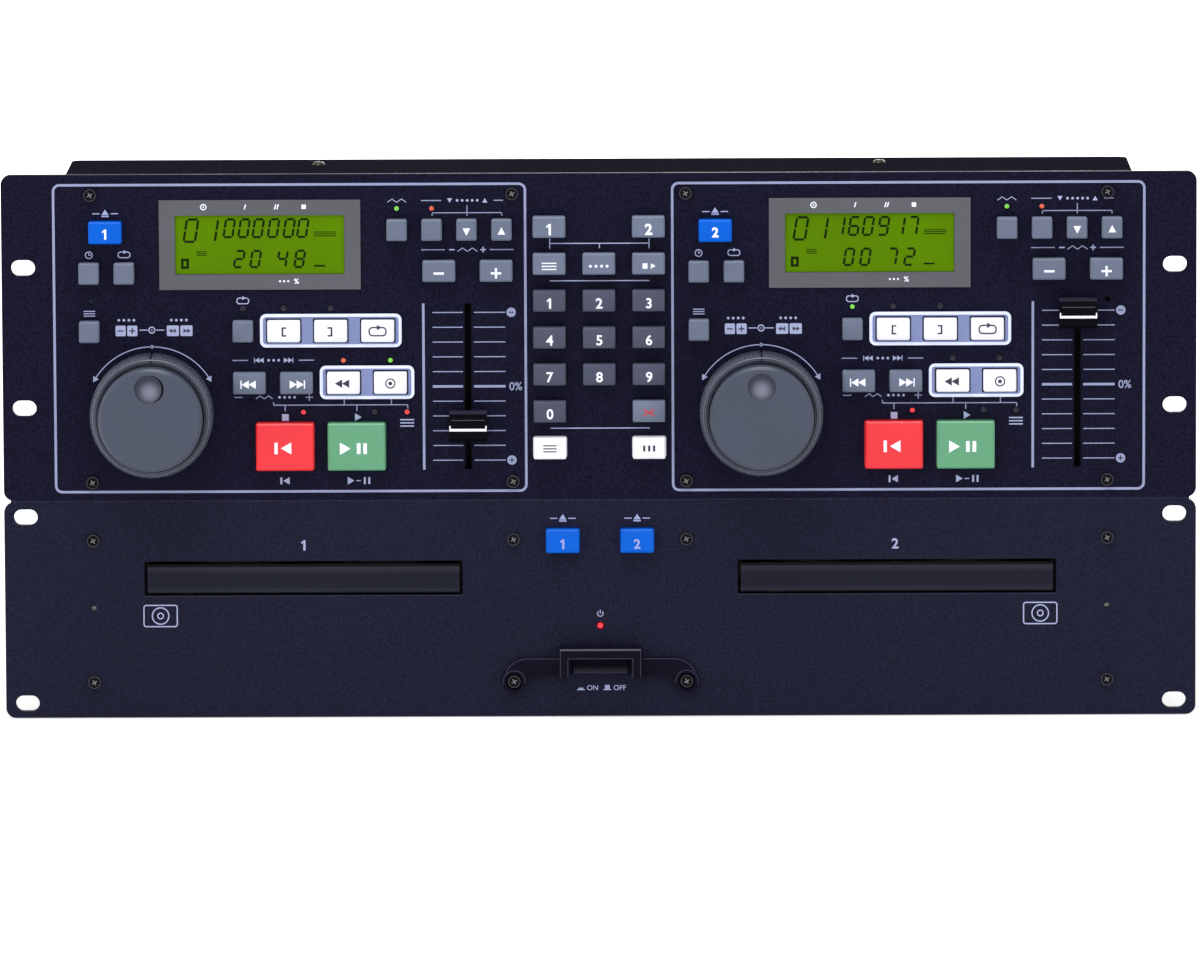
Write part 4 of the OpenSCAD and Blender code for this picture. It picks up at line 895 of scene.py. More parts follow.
# %% Shuttle arc and its boxes
JOG_X = -57.65
JOG_Z = 36.05
ARC_RADIUS = 27.2
ARC_END = 58
ARROW_ANGLE = 59
ARROW_TURN = 150
ARROW_RADIUS = 1.5
ARC_DOT_RADIUS = 0.7
BOX_Z = 69.55
BOX_H = 4.3
BOX_CORNER = 0.5
BOXES_X = ((-72.3, -68.2), (-67.6, -63.5), (-51.6, -46.7), (-46.1, -41.2))
BOX_SIGN_REACH = 1.2
BOX_SIGN_LINE = 0.25
DOT_Z = 69.85
DOT_LINES_X = ((-62.7, -59.4), (-55.9, -52.6))
MINUS_X = -70.25
PLUS_X = -65.55
REWIND_X = -49.15
FORWARD_X = -43.65


def double_arrow(x, z, radius, turn, out=0.0):
    """Two triangles, one behind the other, that point left at -90 and right at 90."""
    step = 0.72 * radius if abs(turn) == 90 else 0
    triangle(x - step, z, radius, turn, out)
    triangle(x + step, z, radius, turn, out)


def shuttle_print(n):
    """The arc with its two arrowheads, the ringed dot and the four pale boxes."""
    x, z = deck_x(n, JOG_X), deck_z(JOG_Z)
    line_radius = ARC_RADIUS - LINE / 2
    arc(x, z, ARC_RADIUS, LINE, ARC_END)
    disc(x, z + line_radius, ARC_DOT_RADIUS, sides=20)
    for way in (-1, 1):
        angle = math.radians(way * ARROW_ANGLE)
        triangle(x + line_radius * math.sin(angle), z + line_radius * math.cos(angle),
                 ARROW_RADIUS, way * ARROW_TURN)
    ring(x, deck_z(DOT_Z), 1.45, 0.5, sides=28)
    disc(x, deck_z(DOT_Z), 0.3, sides=12)
    for x0, x1 in DOT_LINES_X:
        level_line(n, x0, x1, DOT_Z)
    for x0, x1 in BOXES_X:
        rounded(deck_x(n, x0), deck_z(BOX_Z - BOX_H / 2), deck_x(n, x1),
                deck_z(BOX_Z + BOX_H / 2), BOX_CORNER, segments=3)


def shuttle_signs(n):
    """The dark signs in the four boxes."""
    z = deck_z(BOX_Z)
    minus_sign(deck_x(n, MINUS_X), z, BOX_SIGN_REACH, BOX_SIGN_LINE, INK)
    plus_sign(deck_x(n, PLUS_X), z, BOX_SIGN_REACH, BOX_SIGN_LINE, INK)
    double_arrow(deck_x(n, REWIND_X), z, 1.0, -90, INK)
    double_arrow(deck_x(n, FORWARD_X), z, 1.0, 90, INK)


for n in DECKS:
    piece = start(f"shuttle_print_{n}")
    shuttle_print(n)
    lay_ink(piece, "cabinet", print_ink)
    piece = start(f"shuttle_signs_{n}")
    shuttle_signs(n)
    lay_ink(piece, "cabinet", dark_ink)

# %% [markdown]
# ### Pictograms
#
# A pictogram is two or three millimetres high on the panel, and is drawn with the same few forms:
# bars, triangles, discs and rings. Its parts are shares of its size, so that the same pictogram
# can be printed small on the panel and large on a key.

# %% Pictograms
SIGN = 2.7


def eject_sign(x, z, out=0.0, size=SIGN):
    """A triangle over a bar."""
    triangle(x, z + 0.08 * size, 0.55 * size, 0, out, flatten=1.15)
    bar(x - 0.55 * size, z - 0.5 * size, x + 0.55 * size, z - 0.3 * size, out)


def clock_sign(x, z, size=SIGN):
    """A ring with two hands."""
    ring(x, z, 0.58 * size, 0.13 * size, sides=28)
    bar(x - 0.07 * size, z - 0.07 * size, x + 0.07 * size, z + 0.32 * size)
    bar(x, z - 0.07 * size, x + 0.28 * size, z + 0.07 * size)


def dots_sign(x, z, count, size=SIGN, out=0.0):
    """A row of dots."""
    for k in range(count):
        disc(x + (k - (count - 1) / 2) * 0.75 * size, z, 0.2 * size, out, sides=14)


def stack_sign(x, z, size=SIGN, out=0.0, wide=2.6):
    """Three short lines, one over the other, like a list."""
    for k in (-1, 0, 1):
        low, high = z + (k * 0.36 - 0.07) * size, z + (k * 0.36 + 0.07) * size
        bar(x - wide / 2, low, x + wide / 2, high, out)


def flank(x, z, gap, reach):
    """A short line on each side of a pictogram, from gap to reach off its middle."""
    for way in (-1, 1):
        bar(x + way * gap, z - 0.2, x + way * reach, z + 0.2)


def loop_sign(x, z, size=SIGN, out=0.0):
    """A long ring with an arrowhead on its upper side."""
    wide = 0.95 * size
    rounded(x - wide, z - 0.5 * size, x + wide, z + 0.5 * size, 0.42 * size, out)
    hollow(0.15 * size)
    triangle(x + 0.1 * size, z + 0.43 * size, 0.34 * size, 90, out + INK / 2)


def skip_sign(x, z, radius, way, out=0.0):
    """Two triangles and a bar. way is 1 for forwards and -1 for backwards."""
    double_arrow(x - way * 0.3 * radius, z, radius, 90 * way, out)
    edge = x + way * 1.55 * radius
    bar(edge - 0.13 * radius, z - 0.87 * radius, edge + 0.13 * radius, z + 0.87 * radius, out)


def wave_sign(x, z, size=SIGN):
    """Rising and falling strokes in turn, for the pitch."""
    for k in range(4):
        rise = 0.35 * size * (-1) ** k
        stroke(x + (k - 2) * size, z - rise, x + (k - 1) * size, z + rise, 0.16 * size)


print("a pictogram on the panel is about", SIGN, "mm high")

# %% [markdown]
# ### Pictograms beside the keys
#
# The keys of a deck have their pictograms over or under them. They are drawn in four groups: from
# the deck's left edge to the first loop key, over the keys for pitch and key, round the track
# keys, and round the two large keys.

# %% Pictograms beside the keys
OPEN_SIGN_Z = 117.2
CLOCK_Z = 100.4
CONTINUE_Z = 100.5
LIST_Z = 76.6
DOTS_X = (-67.9, -46.7)
DOTS_Z = 73.9
LOOP_SIGN_Z = 81.6
KEY_DOWN_X = 63.0
KEY_UP_X = 77.2
BEND_MINUS_X = 63.8
BEND_PLUS_X = 76.4
SMALL_REACH = 1.1
SMALL_LINE = 0.25
SMALL_ARROW = 1.2
UNDER_KEYS_Z = 8.2


def left_pictograms(n):
    """Open and close, time, continue, index, two rows of dots, and the loop."""
    eject_sign(deck_x(n, OPEN_KEY[0]), deck_z(OPEN_SIGN_Z))
    flank(deck_x(n, OPEN_KEY[0]), deck_z(OPEN_SIGN_Z), 2.2, 5.2)
    clock_sign(deck_x(n, TIME_KEYS_X[0]), deck_z(CLOCK_Z))
    loop_sign(deck_x(n, TIME_KEYS_X[1]), deck_z(CONTINUE_Z))
    stack_sign(deck_x(n, TIME_KEYS_X[0]), deck_z(LIST_Z), wide=4.6)
    for x in DOTS_X:
        dots_sign(deck_x(n, x), deck_z(DOTS_Z), 4)
    loop_sign(deck_x(n, LOOP_KEY_X), deck_z(LOOP_SIGN_Z))


def pitch_pictograms(n):
    """Pitch, key down and up, and minus, bend and plus."""
    line, bend = deck_z(PITCH_LINE_Z), deck_z(BEND_LINE_Z)
    wave_sign(deck_x(n, PITCH_KEYS_X[0]), line, 1.9)
    triangle(deck_x(n, KEY_DOWN_X), line + 0.3, SMALL_ARROW, 180)
    dots_sign(deck_x(n, FADER_X), line, 5)
    triangle(deck_x(n, KEY_UP_X), line - 0.3, SMALL_ARROW, 0)
    minus_sign(deck_x(n, BEND_MINUS_X), bend, SMALL_REACH, SMALL_LINE)
    wave_sign(deck_x(n, FADER_X), bend, 2.0)
    plus_sign(deck_x(n, BEND_PLUS_X), bend, SMALL_REACH, SMALL_LINE)


def track_pictograms(n):
    """Skip back and on over the track keys, and pitch under them."""
    skip_sign(deck_x(n, -14.4), deck_z(TRACK_LINE_Z), SMALL_ARROW, -1)
    dots_sign(deck_x(n, -8.5), deck_z(TRACK_LINE_Z), 3)
    skip_sign(deck_x(n, -2.6), deck_z(TRACK_LINE_Z), SMALL_ARROW, 1)
    wave_sign(deck_x(n, -12.4), deck_z(TRIM_Z), 1.7)
    dots_sign(deck_x(n, -3.2), deck_z(TRIM_Z), 4)


def large_key_pictograms(n):
    """Stop, play and mode over the large keys, and cue, play and pause under them."""
    low, high = deck_z(UNDER_KEYS_Z - 1.4), deck_z(UNDER_KEYS_Z + 1.4)
    bar(deck_x(n, -5.3), deck_z(32.7), deck_x(n, -2.6), deck_z(35.4))
    triangle(deck_x(n, 25.1), deck_z(34.1), 1.8, 90)
    stack_sign(deck_x(n, 45.3), deck_z(31.7), 3.6, wide=5.6)
    bar(deck_x(n, -6.2), low, deck_x(n, -5.4), high)
    triangle(deck_x(n, -3.3), deck_z(UNDER_KEYS_Z), 1.7, -90)
    triangle(deck_x(n, 22.0), deck_z(UNDER_KEYS_Z), 1.8, 90)
    bar(deck_x(n, 24.6), deck_z(UNDER_KEYS_Z - 0.2), deck_x(n, 26.4), deck_z(UNDER_KEYS_Z + 0.2))
    for x in (27.6, 29.4):
        bar(deck_x(n, x), low, deck_x(n, x + 0.8), high)


for n in DECKS:
    piece = start(f"deck_signs_{n}")
    left_pictograms(n)
    pitch_pictograms(n)
    track_pictograms(n)
    large_key_pictograms(n)
    lay_ink(piece, "cabinet", print_ink)

# %% [markdown]
# ### The middle of the controller
#
# Between the decks, a bracket ties the two deck keys to the memory keys, and two lines part the
# groups of keys. The rest of the middle is bare.

# %% Print between the decks
PAD_LINE_X = (-19.8, 20.3)
PAD_MIDDLE_X = 0.25
PAD_LINES_Z = (89.3, 29.3, 104.5)

piece = start("pad_lines")
for z in PAD_LINES_Z:
    bar(PAD_LINE_X[0], deck_z(z - LINE / 2), PAD_LINE_X[1], deck_z(z + LINE / 2))
for x in PAD_LINE_X:
    bar(x - LINE / 2, deck_z(102.3), x + LINE / 2, deck_z(106.6))
bar(PAD_MIDDLE_X - LINE / 2, deck_z(102.5), PAD_MIDDLE_X + LINE / 2, deck_z(104.2))
lay_ink(piece, "cabinet", print_ink)

# %% [markdown]
# ### The drive's print
#
# The drive has little print: a number at each tray, a small sign over each tray key, a power
# sign over the lamp, ON and OFF under the button, and a plain disc in a frame near each end.
# Beside ON and OFF stand the button's two states, seen from the side.

# %% Print on the drive
TRAY_NUMBERS = {"1": -120.0, "2": 119.5}
TRAY_NUMBER_Z = 70.7
TRAY_SIGN_Z = 81.4
TRAY_KEY_X = 15.05
POWER_SIGN_Z = 42.4
SWITCH_Z = 12.0
SWITCH_SIGNS_X = (-8.0, 2.7)
SWITCH_WORDS = {"ON": -3.3, "OFF": 7.8}
DISC_SIGN_X = 178.3
DISC_SIGN_Z = 42


def power_sign(x, z, size=SIGN):
    """A ring that is open at the top, with an upright stroke in the gap."""
    ring(x, z, 0.5 * size, 0.13 * size, sides=36)

    def in_gap(v, _):
        return abs(v.x - x * MM) < 0.2 * size * MM and 0 < v.z - z * MM < 0.6 * size * MM

    pick("verts", in_gap)
    bpy.ops.mesh.delete(type="VERT")
    bar(x - 0.06 * size, z, x + 0.06 * size, z + 0.6 * size)


def button_sign(x, z, pushed):
    """A button seen from the side, pushed in or standing out of its panel."""
    bar(x - 1.6, z - 1.0, x + 1.6, z - 0.6)
    bar(x - 0.95, z - 0.6, x + 0.95, z + (0.0 if pushed else 1.1))


def disc_sign(x, z):
    """A disc with its hole, in a frame with round corners."""
    ring(x, z, 3.6, 0.5, sides=48)
    ring(x, z, 1.4, 0.5, sides=32)
    rounded(x - 7, z - 4.6, x + 7, z + 4.6, 1.2)
    hollow(0.5)


def drive_print():
    """All print of the drive, from the tray numbers down to the disc signs."""
    for number, x in TRAY_NUMBERS.items():
        numeral(number, x, TRAY_NUMBER_Z, 4.2)
    for x in (-TRAY_KEY_X, TRAY_KEY_X):
        eject_sign(x, TRAY_SIGN_Z)
        flank(x, TRAY_SIGN_Z, 2.2, 5.2)
    power_sign(0, POWER_SIGN_Z, 2.6)
    button_sign(SWITCH_SIGNS_X[0], SWITCH_Z, True)
    button_sign(SWITCH_SIGNS_X[1], SWITCH_Z, False)
    for words, x in SWITCH_WORDS.items():
        numeral(words, x, SWITCH_Z, 2.1, bold=0.008)
    for x in (-DISC_SIGN_X, DISC_SIGN_X):
        disc_sign(x, DISC_SIGN_Z)


piece = start("drive_signs")
drive_print()
lay_ink(piece, "cabinet", print_ink)

# %% [markdown]
# ## Signs on the keys
#
# A sign on a key moves with the key, so each set of keys has its own piece, on its own body, laid
# on the keys' front. Most signs are white, and stand a little under the middle of their keys.

# %% White signs on the decks' keys
KEY_OUT = front_of("cue_key_1")
KEY_BOLD = 0.035


def pitch_signs(n):
    """An arrow down and one up, for a lower and a higher key."""
    triangle(deck_x(n, PITCH_KEYS_X[2]), deck_z(PITCH_KEYS_Z - 0.2), 2.0, 180, KEY_OUT, 0.9)
    triangle(deck_x(n, PITCH_KEYS_X[3]), deck_z(PITCH_KEYS_Z - 0.8), 2.0, 0, KEY_OUT, 0.9)


def bend_signs(n):
    """Minus and plus."""
    z = deck_z(BEND_KEYS_Z - 0.8)
    minus_sign(deck_x(n, BEND_KEYS_X[0]), z, 2.1, 0.45, KEY_OUT)
    plus_sign(deck_x(n, BEND_KEYS_X[1]), z, 2.1, 0.45, KEY_OUT)


def track_signs(n):
    """Skip back and skip on."""
    skip_sign(deck_x(n, TRACK_KEYS_X[0] - 0.3), deck_z(TRACK_KEYS_Z - 0.3), 1.95, -1, KEY_OUT)
    skip_sign(deck_x(n, TRACK_KEYS_X[1] + 0.3), deck_z(TRACK_KEYS_Z - 0.3), 1.95, 1, KEY_OUT)


def cue_sign(n):
    """A triangle that points back at a bar, for the return to a chosen place."""
    x, z = deck_x(n, CUE_X), deck_z(PLAY_KEYS_Z - 0.4)
    triangle(x + 1.2, z, 2.8, -90, KEY_OUT)
    bar(x - 4.2, z - 2.35, x - 2.9, z + 2.35, KEY_OUT)


def play_sign(n):
    """Play and pause."""
    x, z = deck_x(n, PLAY_X), deck_z(PLAY_KEYS_Z - 0.6)
    triangle(x - 5.3, z, 2.9, 90, KEY_OUT)
    for edge in (0.1, 2.7):
        bar(x + edge, z - 2.2, x + edge + 1.5, z + 2.2, KEY_OUT)


def open_sign(n):
    """The number of the deck."""
    x, z = OPEN_KEY
    numeral(str(n), deck_x(n, x), deck_z(z), 4.1, KEY_OUT, bold=KEY_BOLD)


for name, body, draw in (("pitch_signs", "pitch_keys", pitch_signs),
                         ("bend_signs", "bend_keys", bend_signs),
                         ("track_signs", "track_keys", track_signs),
                         ("cue_sign", "cue_key", cue_sign),
                         ("play_sign", "play_key", play_sign),
                         ("open_sign", "open_key", open_sign)):
    for n in DECKS:
        piece = start(f"{name}_{n}")
        draw(n)
        lay_ink(piece, f"{body}_{n}", white_ink)

# %% [markdown]
# ### Dark signs
#
# The white keys carry dark signs: a bracket that opens and one that closes for the two ends of a
# loop, a loop with an arrow, an arrow backwards and a disc for the stored sample.

# %% Dark signs on the white keys
def bracket_sign(x, z, way, out):
    """A square bracket that is open to the right where way is 1, and to the left at -1."""
    bar(x - 0.35, z - 1.9, x + 0.35, z + 1.9, out)
    for up in (-1.6, 1.6):
        bar(x - 0.35 * way, z + up - 0.3, x + 1.6 * way, z + up + 0.3, out)


def loop_key_signs(n):
    """The start and the end of a loop, and out of it."""
    z = deck_z(LOOP_KEYS_Z)
    bracket_sign(deck_x(n, LOOP_KEYS_X[0]) - 0.4, z, 1, KEY_OUT)
    bracket_sign(deck_x(n, LOOP_KEYS_X[1]) + 0.4, z, -1, KEY_OUT)
    loop_sign(deck_x(n, LOOP_KEYS_X[2]), z, 3.9, KEY_OUT)


def sample_key_signs(n):
    """Backwards, and the stored sample."""
    z = deck_z(TRACK_KEYS_Z)
    double_arrow(deck_x(n, TRACK_KEYS_X[2]), z, 2.0, -90, KEY_OUT)
    ring(deck_x(n, TRACK_KEYS_X[3]), z, 2.1, 0.5, KEY_OUT, sides=32)
    disc(deck_x(n, TRACK_KEYS_X[3]), z, 0.8, KEY_OUT, sides=20)


for n in DECKS:
    piece = start(f"loop_signs_{n}")
    loop_key_signs(n)
    lay_ink(piece, f"loop_keys_{n}", dark_ink)
    piece = start(f"sample_signs_{n}")
    sample_key_signs(n)
    lay_ink(piece, f"track_keys_{n}", dark_ink)

# %% [markdown]
# ### The key pad
#
# The pad between the decks has seven rows of keys in three columns. Its first row chooses a
# deck, its second one stores and calls up places, and the next four hold the numbers and a clear
# key. The numbers are drawn in one loop: `divmod` finds the row and the column of each.

# %% Numbers and signs on the key pad
PAD_X = (-20.05, 0, 20.05)
PAD_TOP = 111.55
PAD_STEP = 15.0
NUMBER_H = 4.2


def pad_z(row):
    """The height of a row of the key pad, counted from the top one."""
    return deck_z(PAD_TOP - row * PAD_STEP)


piece = start("memory_signs")
for n in DECKS:
    numeral(str(n), side(n) * PAD_X[2] + 0.1, pad_z(0) - 0.9, 4.6, KEY_OUT, bold=KEY_BOLD)
stack_sign(PAD_X[0], pad_z(1) - 0.8, 3.4, KEY_OUT, 6.0)
dots_sign(PAD_X[1], pad_z(1) - 0.8, 4, 3.0, out=KEY_OUT)
bar(PAD_X[2] - 2.4, pad_z(1) - 1.9, PAD_X[2] - 0.4, pad_z(1) + 0.3, KEY_OUT)
triangle(PAD_X[2] + 1.6, pad_z(1) - 0.8, 1.3, 90, KEY_OUT)
lay_ink(piece, "memory_keys", white_ink)

piece = start("number_signs")
for number in range(1, 10):
    row, column = divmod(number - 1, 3)
    numeral(str(number), PAD_X[column] + 0.1, pad_z(2 + row) - 0.9, NUMBER_H, KEY_OUT)
numeral("0", PAD_X[0] + 0.1, pad_z(5) - 0.9, NUMBER_H, KEY_OUT)
lay_ink(piece, "number_keys", white_ink)

# %% [markdown]
# ### The clear key and the white keys of the pad
#
# The clear key carries a flat red cross of two strokes. The two white keys in the last row have a
# list and three upright bars, in dark ink.

# %% The clear key's cross and the signs of the two white keys
# The red ink gives a faint glow of its own, painted light.
red_ink = paint("red_ink", (206, 74, 92), 0.5, grain=0.4, speckle=0.04, relief=0.05, lit=0.1)
cross_z = pad_z(5) - 0.4
piece = start("clear_sign")
for rise in (-1.3, 1.3):
    stroke(PAD_X[2] - 2.2, cross_z - rise, PAD_X[2] + 2.2, cross_z + rise, 0.7, KEY_OUT)
lay_ink(piece, "number_keys", red_ink)

piece = start("link_signs")
stack_sign(PAD_X[0], pad_z(6), 3.4, KEY_OUT, 5.4)
for x in (-2.0, 0.0, 2.0):
    bar(PAD_X[2] + x - 0.45, pad_z(6) - 1.2, PAD_X[2] + x + 0.45, pad_z(6) + 1.2, KEY_OUT)
lay_ink(piece, "link_keys", dark_ink)

# %% [markdown]
# ### The tray keys
#
# The two blue keys of the drive carry the number of their tray, in a paler ink than the panel's.

# %% Numbers on the tray keys
TRAY_KEY_OUT = front_of("tray_key_1")
# This ink gives a faint glow of its own, painted light.
lavender_ink = paint("lavender_ink", (168, 178, 238), 0.5, grain=0.4, speckle=0.04, relief=0.05,
                     lit=0.1)
for n in DECKS:
    piece = start(f"tray_key_sign_{n}")
    numeral(str(n), side(n) * TRAY_KEY_X, 71.5, 4.0, TRAY_KEY_OUT, bold=0.03)
    lay_ink(piece, f"tray_key_{n}", lavender_ink)

# %% [markdown]
# ## Keys of two colours
#
# The frame makes one body of each set of keys that share a switch board, but some sets have keys
# of two colours: the first loop key is grey beside three white ones, two of the four track keys
# are white, and the clear key is lighter than the numbers. Each colour becomes a piece of its
# own. Such a piece starts as a copy of the frame's keys, whose loose triangles are merged, and
# the keys of the other colour are deleted from it by their place.

# %% Split a set of keys by place
def start_copy(node, name):
    """A copy of one of the frame's nodes, welded and open in edit mode."""
    piece = start(name)
    bpy.ops.object.mode_set(mode="OBJECT")
    piece.data = nodes[node].data.copy()
    piece.data.name = name
    piece.data.materials.clear()
    bpy.ops.object.mode_set(mode="EDIT")
    weld()
    return piece


def keys_of(node, name, test, body, material):
    """A copy of those keys of a node whose places pass the test."""
    piece = start_copy(node, name)
    pick("verts", lambda v, _: not test(v.x / MM, v.z / MM))
    bpy.ops.mesh.delete(type="VERT")
    finish(piece, body, material)
    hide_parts(node)


def grey_and_white(body, grey_name, white_name, edge):
    """Splits the keys of a body at a place: grey ones to the left, white ones to the right."""
    keys_of(body, grey_name, lambda x, z: x < edge, body, key_grey)
    keys_of(body, white_name, lambda x, z: x > edge, body, key_white)


LOOP_EDGE = (LOOP_KEY_X + LOOP_KEYS_X[0]) / 2 - 2
TRACK_EDGE = (TRACK_KEYS_X[1] + TRACK_KEYS_X[2]) / 2
for n in DECKS:
    grey_and_white(f"loop_keys_{n}", f"loop_key_grey_{n}", f"loop_keys_white_{n}",
                   deck_x(n, LOOP_EDGE))
    grey_and_white(f"track_keys_{n}", f"track_keys_grey_{n}", f"track_keys_white_{n}",
                   deck_x(n, TRACK_EDGE))

clear_x = (PAD_X[1] + PAD_X[2]) / 2
clear_z = (pad_z(4) + pad_z(5)) / 2
keys_of("number_keys", "clear_key", lambda x, z: x > clear_x and z < clear_z,
        "number_keys", key_light)
keys_of("number_keys", "number_keys_dark", lambda x, z: x < clear_x or z > clear_z,
        "number_keys", key_dark)

# %% [markdown]
# ## Displays
#
# A liquid crystal digit has seven segments that lean a little to the right. Each segment is a
# short stroke, and a table says which of the seven stay pale for each digit. The strokes are laid
# on the front of the window, just behind the panel's face. Each display has three rows of digits:
# the track, the time and the pitch.

# %% Seven-segment digits
GLASS_OUT = front_of("display_windows")
SLANT = 0.16
SEGMENT = 0.9
SEGMENT_GAP = 0.35
# Ends of each segment on a digit one wide and two high, from its lower left corner.
SEGMENTS = {"top": (0, 2, 1, 2), "middle": (0, 1, 1, 1), "bottom": (0, 0, 1, 0),
            "upper_left": (0, 1, 0, 2), "upper_right": (1, 1, 1, 2),
            "lower_left": (0, 0, 0, 1), "lower_right": (1, 0, 1, 1)}
UNLIT = {"0": ("middle",), "1": ("top", "middle", "bottom", "upper_left", "lower_left"),
         "2": ("upper_left", "lower_right"), "4": ("top", "bottom", "lower_left"),
         "6": ("upper_right",), "7": ("middle", "bottom", "upper_left", "lower_left"), "8": (),
         "9": ("lower_left",)}


def digit(sign, x, z, width, height):
    """One digit around x, with its foot at z."""
    for name, (x0, z0, x1, z1) in SEGMENTS.items():
        if name in UNLIT[sign]:
            continue
        (ax, az), (bx, bz) = [
            (x + (u - 0.5) * width + SLANT * v * height / 2, z + v * height / 2)
            for u, v in ((x0, z0), (x1, z1))]
        length = math.hypot(bx - ax, bz - az)
        trim_x = (bx - ax) / length * SEGMENT_GAP
        trim_z = (bz - az) / length * SEGMENT_GAP
        stroke(ax + trim_x, az + trim_z, bx - trim_x, bz - trim_z, SEGMENT, GLASS_OUT)


print("the glass of the displays is", round(-GLASS_OUT, 2), "mm behind the panels' face")

# %% [markdown]
# ### Readings
#
# The two displays read plain numbers, with a small frame and a few short lines as marks. A row
# of digits is the places of its digits, the height of its foot, and the size of a digit. A list
# mark is its place, its size and its width.

# %% Readings of the displays
ROWS = (((-42.2, -34.2), 194.6, 4.6, 9.0),
        ((-26.6, -20.6, -14.9, -8.7, -2.4, 3.1), 196.4, 3.6, 7.2),
        ((-22.6, -16.0, -5.2, 1.8), 184.2, 3.4, 6.6))
MODE_MARK_X = (-45.6, -42.4)
MODE_MARK_Z = (183.6, 187.7)
MODE_MARK_LINE = 1.0
LIST_MARKS = ((-37.2, 189.8, 2.0, 4.2), (12.6, 197.6, 2.2, 9.0))
UNIT_MARK_X = (8.0, 12.5)
UNIT_MARK_Z = (184.3, 185.0)
READINGS = {1: ("01", "000000", "2048"), 2: ("01", "160917", "0072")}


def reading(n):
    """The digits and marks on the glass of deck n."""
    for signs, (places, foot, width, height) in zip(READINGS[n], ROWS):
        for sign, x in zip(signs, places):
            digit(sign, deck_x(n, x), foot, width, height)
    left, right = [deck_x(n, x) for x in MODE_MARK_X]
    bar(left, MODE_MARK_Z[0], right, MODE_MARK_Z[1], GLASS_OUT)
    hollow(MODE_MARK_LINE)
    for x, z, size, wide in LIST_MARKS:
        stack_sign(deck_x(n, x), z, size, GLASS_OUT, wide)
    left, right = [deck_x(n, x) for x in UNIT_MARK_X]
    bar(left, UNIT_MARK_Z[0], right, UNIT_MARK_Z[1], GLASS_OUT)


display_dark = paint("display_dark", (22, 38, 4), 0.4, grain=0.4, speckle=0.05, relief=0.05,
                     shine=0.05)
for n in DECKS:
    piece = start(f"display_digits_{n}")
    reading(n)
    lay_ink(piece, "cabinet", display_dark)

# %% [markdown]
# ### Marks round the displays
#
# The frame round each display carries small marks over the digits: a disc for the track, one and
# two strokes for minutes and seconds, a small square for the frames of a disc, and % below.

# %% Marks on the display frames
FRAME_OUT = front_of("display_frames")
MARK_Z = 208.7
TRACK_MARK_X = -36.4
MINUTE_X = -19.6
SECOND_X = (-7.4, -6.4)
FRAME_MARK_X = 4.1
FRAME_MARK_HALF = 0.9
PERCENT_X = 1.0
PERCENT_DOTS_X = -4.0
PERCENT_Z = 178.5


def frame_marks(n):
    """The marks over and under the display of deck n."""
    ring(deck_x(n, TRACK_MARK_X), MARK_Z, 1.3, 0.45, FRAME_OUT, sides=28)
    disc(deck_x(n, TRACK_MARK_X), MARK_Z, 0.35, FRAME_OUT, sides=12)
    for x in (MINUTE_X, *SECOND_X):
        stroke(deck_x(n, x - 0.3), MARK_Z - 1.0, deck_x(n, x + 0.3), MARK_Z + 1.0, 0.5, FRAME_OUT)
    left, right = [deck_x(n, FRAME_MARK_X + reach) for reach in (-FRAME_MARK_HALF, FRAME_MARK_HALF)]
    bar(left, MARK_Z - FRAME_MARK_HALF, right, MARK_Z + FRAME_MARK_HALF, FRAME_OUT)
    numeral("%", deck_x(n, PERCENT_X), PERCENT_Z, 2.2, FRAME_OUT)
    dots_sign(deck_x(n, PERCENT_DOTS_X), PERCENT_Z, 3, 2.2, out=FRAME_OUT)


for n in DECKS:
    piece = start(f"display_marks_{n}")
    frame_marks(n)
    lay_ink(piece, "cabinet", white_ink)

# %% [markdown]
# ## Key surrounds
#
# The two silver surrounds of each deck have a raised rim, painted brighter than the plate and given
# a glow of its own as a painted highlight. The rim is a rectangle with its corners bevelled round,
# hollowed to its width and pulled out of the plate by a quarter of a millimetre.

# %% Rims of the key surrounds
SURROUND_OUT = front_of("key_surrounds")
SURROUND_CORNER = 2.5
RIM = 1.2
RIM_RISE = 0.25
SURROUNDS = ((-13.9, 62.7, 43.3, 76.3), (10.1, 41.6, 48.3, 55.2))
# The rim's bright colour and its glow are a painted highlight.
rim_silver_highlight = paint("rim_silver_highlight", (226, 232, 255), 0.35, 0.1, grain=0.4, speckle=0.03, lit=0.25)

for n in DECKS:
    piece = start(f"surround_rims_{n}")
    for x0, z0, x1, z1 in SURROUNDS:
        rounded(deck_x(n, x0), deck_z(z0), deck_x(n, x1), deck_z(z1), SURROUND_CORNER, SURROUND_OUT)
        hollow(RIM)
    pick_all_faces()
    pull(RIM_RISE)
    finish(piece, "cabinet", rim_silver_highlight)

# %% [markdown]
# ### Shade round the keys
#
# Between a key and its surround the hole's sharp edge lies in shade. A dark line round each hole
# keeps that edge crisp.

# %% Shaded edges of the key holes
HOLE_LINE = 0.55
HOLE_CORNER = 0.6
KEY_W = 13.3
KEY_H = 8.9
REACH_X = KEY_W / 2 + HOLE_LINE
REACH_Z = KEY_H / 2 + HOLE_LINE
HOLES = ([(x, LOOP_KEYS_Z) for x in LOOP_KEYS_X]
         + [(x, TRACK_KEYS_Z) for x in TRACK_KEYS_X[2:]])
shade_black = paint("shade_black", (18, 20, 34), 0.6, grain=0.3, relief=0.1, shine=0.05)

for n in DECKS:
    piece = start(f"key_holes_{n}")
    for x, z in HOLES:
        rounded(deck_x(n, x) - REACH_X, deck_z(z) - REACH_Z, deck_x(n, x) + REACH_X,
                deck_z(z) + REACH_Z, HOLE_CORNER, SURROUND_OUT, segments=3)
        hollow(HOLE_LINE)
    lay_ink(piece, "cabinet", shade_black)

